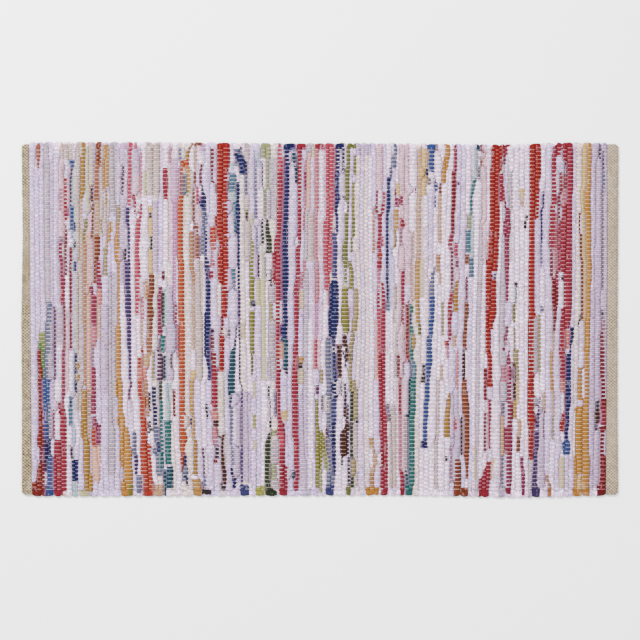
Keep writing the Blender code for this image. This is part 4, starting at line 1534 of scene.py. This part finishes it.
def least_channel(tree, colour):
    """The least of a colour's three channels, which says how pale it is."""
    red, green, blue = node(tree, "SeparateColor", {0: colour}).outputs
    return math_node(tree, "MINIMUM", math_node(tree, "MINIMUM", red, green), blue)


def object_place(tree):
    return node(tree, "TexCoord").outputs["Object"]


def stretched_noise(tree, coordinates, scale, detail=2.0, rough=0.55):
    """Noise with its own scale in each direction, in waves a metre."""
    mapping = node(tree, "Mapping", {"Vector": coordinates, "Scale": scale})
    inputs = {"Vector": mapping.outputs[0], "Scale": 1.0, "Detail": detail, "Roughness": rough}
    return node(tree, "TexNoise", inputs).outputs["Fac"]


def cloth_group():
    """The surface that the rags and cottons share: creases along the strip, with painted shade in them and
    a painted highlight on their ridges, and yarn grain.
    """
    group = bpy.data.node_groups.get("Cloth surface")
    if group:
        return group
    group = bpy.data.node_groups.new("Cloth surface", "ShaderNodeTree")
    face = group.interface
    face.new_socket("Colour", in_out="INPUT", socket_type="NodeSocketColor")
    face.new_socket("Vector", in_out="INPUT", socket_type="NodeSocketVector")
    for name, value in (("Crease", 0.2), ("Grain", 0.1), ("Along X", 300.0), ("Along Y", 120.0)):
        socket = face.new_socket(name, in_out="INPUT", socket_type="NodeSocketFloat")
        socket.default_value = value
    face.new_socket("Colour", in_out="OUTPUT", socket_type="NodeSocketColor")
    face.new_socket("Roughness", in_out="OUTPUT", socket_type="NodeSocketFloat")
    face.new_socket("Height", in_out="OUTPUT", socket_type="NodeSocketFloat")
    given = group.nodes.new("NodeGroupInput").outputs
    scale = node(group, "CombineXYZ", {"X": given["Along X"], "Y": given["Along Y"], "Z": given["Along X"]})
    stretched = node(group, "VectorMath", {0: given["Vector"], 1: scale.outputs[0]}, operation="MULTIPLY")
    crease_inputs = {"Vector": stretched.outputs[0], "Scale": 1.0, "Detail": 3.0, "Roughness": 0.6}
    crease = node(group, "TexNoise", crease_inputs).outputs["Fac"]
    grain = stretched_noise(group, given["Vector"], YARN_GRAIN)
    crease_low = math_node(group, "SUBTRACT", 1.0, given["Crease"])
    crease_high = math_node(group, "ADD", 1.0, math_node(group, "MULTIPLY", given["Crease"], CREASE_LIGHT))
    grain_low = math_node(group, "SUBTRACT", 1.0, given["Grain"])
    grain_high = math_node(group, "ADD", 1.0, given["Grain"])
    # painted shade in the creases and a painted highlight on their ridges, times the yarn grain's tone
    shade = math_node(
        group, "MULTIPLY",
        remap(group, crease, CREASE_RANGE, (crease_low, crease_high)),
        remap(group, grain, NOISE_RANGE, (grain_low, grain_high)))
    plug(group, group.nodes.new("NodeGroupOutput"), {
        "Colour": shaded(group, given["Colour"], shade),
        "Roughness": remap(group, crease, NOISE_RANGE, ROUGHNESS),
        "Height": math_node(group, "ADD", crease, math_node(group, "MULTIPLY", grain, YARN_RELIEF)),
    })
    return group


def new_material(name):
    material = bpy.data.materials.new(name)
    material.use_nodes = True
    shader = material.node_tree.nodes["Principled BSDF"]
    plug(material.node_tree, shader, MATT)
    return material, material.node_tree, shader


def dress(tree, shader, colour, coordinates, surface):
    """Runs a colour through the shared cloth surface into the shader."""
    crease, grain, along_x, along_y, relief = surface
    inputs = {"Colour": colour, "Vector": coordinates, "Crease": crease, "Grain": grain,
              "Along X": along_x, "Along Y": along_y}
    cloth = node(tree, "Group", inputs, node_tree=cloth_group())
    bump = {"Height": cloth.outputs["Height"], "Distance": relief, "Strength": RELIEF_STRENGTH}
    raised = node(tree, "Bump", bump)
    plug(tree, shader, {"Base Color": cloth.outputs["Colour"], "Roughness": cloth.outputs["Roughness"],
                        "Normal": raised.outputs[0]})


def rag_material():
    """Cloth strips: the chart's two colours with a frayed edge between them, printed patterns, painted
    shadow lines and faded patches, and painted shade in the hollows.
    """
    material, tree, shader = new_material("rag_cloth")
    coordinates = object_place(tree)
    edge_noise = stretched_noise(tree, coordinates, FRAY_NOISE)
    fray = remap(tree, edge_noise, NOISE_RANGE, (-FRAY, FRAY))
    frayed = math_node(tree, "ADD", point_layer(tree, "cover", "Fac"), fray)
    inside = remap(tree, frayed, (-FRAY_SOFT, FRAY_SOFT), (0.0, 1.0), True)
    cloth = blended(tree, inside, point_layer(tree, "ground"), point_layer(tree, "rag"))
    paleness = remap(tree, least_channel(tree, cloth), PALE_BETWEEN, (0.0, 1.0), True)
    # the pale cloths are printed and woven in their own ways, so no two places on them are quite alike
    prints_and_shadow_lines = cloth
    for scale, shift, low, strength, tint in PALE_PRINTS:
        place_shift = {"Vector": coordinates, "Location": (shift, shift / 2, 0.0)}
        shifted = node(tree, "Mapping", place_shift).outputs[0]
        noise = stretched_noise(tree, shifted, scale, 3.0, 0.65)
        shown = remap(tree, noise, (low, low + PRINT_SOFT), (0.0, strength), True)
        prints_and_shadow_lines = blended(tree, shown, prints_and_shadow_lines, opaque(tint), "MULTIPLY")
    # painted shadow: fine dark lines on the pale cloths, for the shade at loose strands' edges
    shadow_line_noise = stretched_noise(tree, coordinates, SHADOW_LINE_NOISE, 3.0, 0.6)
    off_shadow_line = math_node(tree, "ABSOLUTE", math_node(tree, "SUBTRACT", shadow_line_noise, 0.5))
    on_shadow_line = remap(tree, off_shadow_line, SHADOW_LINE_WIDTH, (SHADOW_LINE_STRENGTH, 0.0))
    prints_and_shadow_lines = blended(tree, on_shadow_line, prints_and_shadow_lines, SHADOW_LINE_COLOUR)
    worn_noise = stretched_noise(tree, coordinates, WORN_NOISE)
    worn = remap(tree, worn_noise, WORN_BETWEEN, (0.0, WORN_STRENGTH), True)
    colour = blended(tree, paleness, blended(tree, worn, cloth, WORN_COLOUR), prints_and_shadow_lines)
    # painted shade in the hollows between ribs and beside the threads, deeper on pale cloth
    darkest = remap(tree, paleness, (0.0, 1.0), DARKEST)
    hollow = remap(tree, point_layer(tree, "depth", "Fac"), HOLLOW_BETWEEN, (1.0, darkest))
    dress(tree, shader, shaded(tree, colour, hollow), coordinates, RAG_SURFACE)
    return material


def warp_material(cottons):
    """Warp cotton: two-ply twist with painted shade between its plies, and some of the colour of the rag
    that each float lies on, partly as painted reflected light; over a pale rag, painted furrow shade.
    """
    material, tree, shader = new_material("warp_cotton")
    coordinates = object_place(tree)
    under = point_layer(tree, "under")
    twist_map = node(tree, "Mapping", {"Vector": coordinates, "Rotation": (0.0, 0.0, TWIST_LEAN)})
    twist_inputs = {"Vector": twist_map.outputs[0], "Scale": TWIST_SCALE, "Distortion": 1.0}
    twist = node(tree, "TexWave", twist_inputs, bands_direction="X").outputs["Fac"]
    cotton = blended(tree, twist, opaque(cottons.warp_shade), opaque(cottons.warp))
    # painted reflected light: the cotton takes on the colour of the rag below it
    lit = node(tree, "Gamma", {0: under, 1: RAG_LIGHT}).outputs[0]
    colour = blended(tree, RAG_SHOWS, blended(tree, 1.0, cotton, lit, "MULTIPLY"), under)
    # painted shade: on a pale rag the tight threads are darkened to read as the shaded furrows between its
    # bumps
    furrow_shade = remap(tree, least_channel(tree, under), FURROW_SHADE_BETWEEN, (1.0, FURROW_SHADE), True)
    dress(tree, shader, shaded(tree, colour, furrow_shade), coordinates, WARP_SURFACE)
    return material


def heading_material(cottons):
    """Heading cotton in a small diamond twill, its hollows in painted shade, faded in patches."""
    material, tree, shader = new_material("heading_herringbone")
    coordinates = object_place(tree)
    parts = node(tree, "SeparateXYZ", {0: coordinates}).outputs
    jitter = math_node(tree, "MULTIPLY", stretched_noise(tree, coordinates, TWILL_NOISE), TWILL_JITTER)
    slopes = []
    for slope, strength in TWILL_SLOPES:
        lean = math_node(tree, "ADD", parts["Y"], math_node(tree, "MULTIPLY", parts["X"], slope))
        lean = math_node(tree, "ADD", lean, jitter)
        wave = math_node(tree, "SINE", math_node(tree, "MULTIPLY", lean, 2 * math.pi / HEADING_TWILL))
        slopes.append(math_node(tree, "MULTIPLY", wave, strength))
    rib = remap(tree, math_node(tree, "MAXIMUM", *slopes), TWILL_BETWEEN, (0.0, 1.0), True)
    colour = blended(tree, rib, opaque(cottons.heading_shade), opaque(cottons.heading))
    slub = stretched_noise(tree, coordinates, SLUB_NOISE, rough=0.6)
    colour = shaded(tree, colour, remap(tree, slub, SLUB_BETWEEN, SLUB_SHADE))
    fade = remap(tree, stretched_noise(tree, coordinates, FADE_NOISE), FADE_BETWEEN, (0.0, FADE_STRENGTH))
    to_right = remap(tree, parts["X"], (-0.5, 0.5), (0.0, FADE_TO_RIGHT))
    for faded in (fade, to_right):
        colour = blended(tree, faded, colour, opaque(cottons.heading_fade))
    dress(tree, shader, colour, coordinates, HEADING_SURFACE)
    return material


def plain_material(name, colour):
    material, tree, shader = new_material(name)
    plug(tree, shader, {"Base Color": opaque(colour), "Roughness": 0.9, "Sheen Weight": 0.0})
    return material


# ---- the pieces ----


def section_columns(section):
    """The first and last column of a section, which both belong to it."""
    per_section = PICKS // SECTIONS * 4
    return section * per_section, (section + 1) * per_section


def weave_section(layout, ring, paint, section, material):
    """One length of the woven field, as a closed sheet with its upper face, its turns and its underside."""
    low, high = section_columns(section)
    x, y, z = (part[:, low:high + 1].T for part in ring)
    x = x.copy()
    x[0] += SEAM
    x[-1] -= SEAM
    stations, rows = x.shape
    piece = sleeve(f"woven_field_{section + 1}", stations, rows)
    mesh = piece.data
    place(mesh, to_row(x, y, z))
    ground, rag, cover = (part[:, low:high + 1] for part in paint)
    point_colour(mesh, "ground", ground.transpose(1, 0, 2))
    point_colour(mesh, "rag", rag.transpose(1, 0, 2))
    point_value(mesh, "cover", cover.T)
    # Painted shade: the hollows between ribs and beside each thread are darkened, fading out towards the
    # selvedges.
    painted_hollow_shade = (1 - layout.rise[low:high + 1])[:, None] ** VALLEY_SHARPNESS
    heights, turn_row = layout.ring_heights()
    ring_index = (heights - layout.rows[0]) / (layout.pitch / 2)
    from_end = np.minimum(heights - SHADED[0], SHADED[1] - heights)
    in_field = np.clip(from_end / SHADED_SOFT, 0, 1)
    pressed = layout.press(layout.columns[low:high + 1, None], ring_index[None, :])
    pressed = np.clip((pressed + PRESSED_REACH) / (1 + PRESSED_REACH), 0, 1)
    painted_hollow_shade = np.clip(VALLEY_SHADE * painted_hollow_shade + PRESSED_SHADE * pressed, 0, 1)
    point_value(mesh, "depth", painted_hollow_shade * in_field[None, :])
    _, i, j, side = corners_of(mesh, rows, stations)
    over = side < turn_row
    length_along = np.r_[np.linspace(0, 1, turn_row + 1), np.linspace(1, 0, rows - turn_row + 1)[1:]]
    u = np.where(over, MAP_MARGIN, 0.5 + MAP_MARGIN) + (0.5 - 2 * MAP_MARGIN) * i / (stations - 1)
    unfold(mesh, u, length_along[j])
    finished(piece, material, "woven_field")
    width = float(np.mean(x[-1] - x[0])) * CM
    length = float(np.mean(y.max(axis=1) - y.min(axis=1))) * CM
    return piece, (width, length)


def warp_section(layout, paint, section, material):
    """The warp threads over one length of the field, each a flattened tube that goes over and under."""
    sizes = layout.sizes
    ribs = PICKS // SECTIONS
    first = section * ribs
    numbers = [rib + step for rib in range(first, first + ribs) for step in (-FLOAT, FLOAT)]
    numbers = np.array([first - 0.5 + 2 * SEAM] + numbers + [first + ribs - 0.5 - 2 * SEAM])
    ends = sizes.warp_ends
    stations = len(numbers)
    piece = sleeve(f"warp_threads_{section + 1}", stations, len(THREAD_SECTION))
    array = piece.modifiers.new("ends", "ARRAY")
    array.use_relative_offset = False
    array.use_constant_offset = True
    array.constant_offset_displace = (0.0, 0.0, THREADS_APART)
    array.count = ends
    bpy.ops.object.modifier_apply(modifier=array.name)
    mesh = piece.data
    every_warp = 2 * np.arange(ends)
    x = layout.x_at(numbers, every_warp)
    y = layout.warps[:, None] + wander(x, layout.warps[:, None])
    over = layout.press(numbers[None, :], every_warp[:, None]) > 0
    top = layout.crest(numbers, every_warp) - sizes.press / MM + FLOAT_RISE * sizes.thread_height / MM
    low = sizes.thread_height / MM / 2
    z = np.where(over, top, low)
    z[:, [0, -1]] = (z.max() + low) / 2
    across, up = np.array(THREAD_SECTION).T
    across = across * sizes.thread_width / CM
    up = up * sizes.thread_height / MM
    every = np.ones(len(across))
    place(mesh, to_row(x[..., None] * every, y[..., None] + across, np.maximum(z[..., None] + up, 0.0)))
    ground, rag, cover = paint
    # the field's shoulder column that each of a thread's stations lies on
    column = np.array([4 * round(number) + (1 if number < round(number) else 3)
                       for number in numbers[1:-1]])
    window = np.ix_(len(TURN_TOP) + every_warp, np.r_[column[0], column, column[-1]])
    under = np.where(cover[window][..., None] > 0, rag[window], ground[window])
    point_colour(mesh, "under", np.repeat(under, len(across), axis=1).reshape(ends, stations, -1, 3))
    tube, i, j, _ = corners_of(mesh, len(across), stations)
    unfold(mesh, margined(i / (stations - 1)), (tube + j / len(across)) / ends)
    return finished(piece, material, "woven_field")


def fold_heading(name, outer_edge, end_line, inward, material):
    """A heading as one strip of cloth folded under at its outer edge, so both its layers are real."""
    share = np.linspace(0, 1, HEADING_STATIONS)
    length = HEADING_BOTTOM - HEADING_TOP
    closer = HEADING_TOP + length * (1 - np.cos(math.pi * share)) / 2
    y = closer * HEADING_EVEN_MIX + (HEADING_TOP + length * share) * (1 - HEADING_EVEN_MIX)
    from_end = np.minimum(y - HEADING_TOP, HEADING_BOTTOM - y)
    corner = np.clip(1 - from_end / HEADING_CORNER, 0, 1) ** 2 * HEADING_CORNER
    inner = rib_x([end_line], y)[:, 0] - inward * GAP
    outer = np.interp(y, GUIDE_HEIGHTS, outer_edge) + inward * (corner - waves(y, HEADING_EDGE_WAVES))
    across, up = np.array(HEM_SECTION).T
    x = inner[:, None] + (outer - inner)[:, None] * across
    z = up + np.where(up > RIPPLES_ABOVE, waves(y, HEADING_RIPPLES)[:, None], 0.0)
    stations = len(y)
    piece = sleeve(name, stations, len(across))
    place(piece.data, to_row(x, y[:, None] + 0 * x, z))
    _, i, j, _ = corners_of(piece.data, len(across), stations)
    unfold(piece.data, margined(i / (stations - 1)), j / len(across))
    finished(piece, material, name.replace("heading", "end_band"), HEM_SMOOTH)
    width = float(np.mean(np.abs(outer - inner))) * CM
    return piece, (2 * width * HEM_CLOTH, length * CM)


class RUG_OT_weave_field(bpy.types.Operator):
    """Weave the field: all the rags and both selvedges, in lengths that meet between two ribs"""

    bl_idname = "rag_rug.weave_field"
    bl_label = "Weave the field"
    bl_options = {"REGISTER", "UNDO"}

    def execute(self, context):
        layout = Layout(context.scene.rag_rug_sizes)
        paint = painted(layout, context.scene.rag_rug_dyes)
        cloth = rag_material()
        cotton = warp_material(context.scene.rag_rug_cottons)
        ring = layout.ring()
        for section in range(SECTIONS):
            cloth_piece, flat = weave_section(layout, ring, paint, section, cloth)
            threads = warp_section(layout, paint, section, cotton)
        return {"FINISHED"}


class RUG_OT_fold_headings(bpy.types.Operator):
    """Fold and hem the cotton heading at each end"""

    bl_idname = "rag_rug.fold_headings"
    bl_label = "Fold the headings"
    bl_options = {"REGISTER", "UNDO"}

    def execute(self, context):
        cotton = heading_material(context.scene.rag_rug_cottons)
        for name, outer_edge, end_line, inward in (
            ("heading_left", LEFT_HEADING_OUTER, -0.5, 1),
            ("heading_right", RIGHT_HEADING_OUTER, PICKS - 0.5, -1),
        ):
            piece, flat = fold_heading(name, outer_edge, end_line, inward, cotton)
        return {"FINISHED"}


class RUG_OT_set_stage(bpy.types.Operator):
    """Lay the pale floor, and set the soft lights and the camera straight above"""

    bl_idname = "rag_rug.set_stage"
    bl_label = "Set the stage"
    bl_options = {"REGISTER", "UNDO"}

    def execute(self, context):
        bpy.ops.object.select_all(action="DESELECT")
        bpy.ops.mesh.primitive_plane_add(size=FLOOR_SIZE, location=(0.0, 0.0, -FLOOR_DROP))
        floor = context.object
        floor.name = "floor"
        bpy.ops.object.transform_apply(location=True)
        floor.data.materials.append(plain_material("pale_floor", FLOOR_COLOUR))
        for name, where, size, power in LIGHTS:
            bpy.ops.object.light_add(type="AREA", location=where)
            light = context.object
            light.name = name
            light.data.shape = "DISK"
            light.data.size = size
            light.data.energy = power
            light.rotation_euler = light.location.to_track_quat("Z", "Y").to_euler()
        world = bpy.data.worlds.new("soft_white")
        world.use_nodes = True
        background = world.node_tree.nodes["Background"]
        background.inputs["Color"].default_value = opaque(WORLD_COLOUR)
        background.inputs["Strength"].default_value = WORLD_STRENGTH
        context.scene.world = world
        bpy.ops.object.camera_add(location=(0.0, 0.0, CAMERA_HEIGHT), rotation=(0.0, 0.0, 0.0))
        camera = context.object
        camera.name = "camera_above"
        camera.data.lens = CAMERA_LENS
        camera.data.sensor_width = SENSOR_WIDTH
        context.scene.camera = camera
        return {"FINISHED"}


class RUG_PT_panel(bpy.types.Panel):
    """Everything that makes the rug"""

    bl_label = "Rag Rug"
    bl_idname = "RUG_PT_panel"
    bl_space_type = "VIEW_3D"
    bl_region_type = "UI"
    bl_category = "Rag Rug"

    def draw(self, context):
        for operator in OPERATORS:
            self.layout.operator(operator.bl_idname)
        scene = context.scene
        for group in (scene.rag_rug_sizes, scene.rag_rug_cottons, scene.rag_rug_dyes):
            box = self.layout.box()
            for name in group.__annotations__:
                box.prop(group, name)


OPERATORS = (RUG_OT_weave_field, RUG_OT_fold_headings, RUG_OT_set_stage)
CLASSES = (RugSizes, RugDyes, RugCottons, *OPERATORS, RUG_PT_panel)


def register():
    for part in CLASSES:
        bpy.utils.register_class(part)
    bpy.types.Scene.rag_rug_sizes = PointerProperty(type=RugSizes)
    bpy.types.Scene.rag_rug_dyes = PointerProperty(type=RugDyes)
    bpy.types.Scene.rag_rug_cottons = PointerProperty(type=RugCottons)


def unregister():
    del bpy.types.Scene.rag_rug_sizes
    del bpy.types.Scene.rag_rug_dyes
    del bpy.types.Scene.rag_rug_cottons
    for part in reversed(CLASSES):
        bpy.utils.unregister_class(part)


def main():
    register()
    bpy.ops.rag_rug.weave_field()
    bpy.ops.rag_rug.fold_headings()
    bpy.ops.rag_rug.set_stage()


if __name__ == "__main__":
    main()
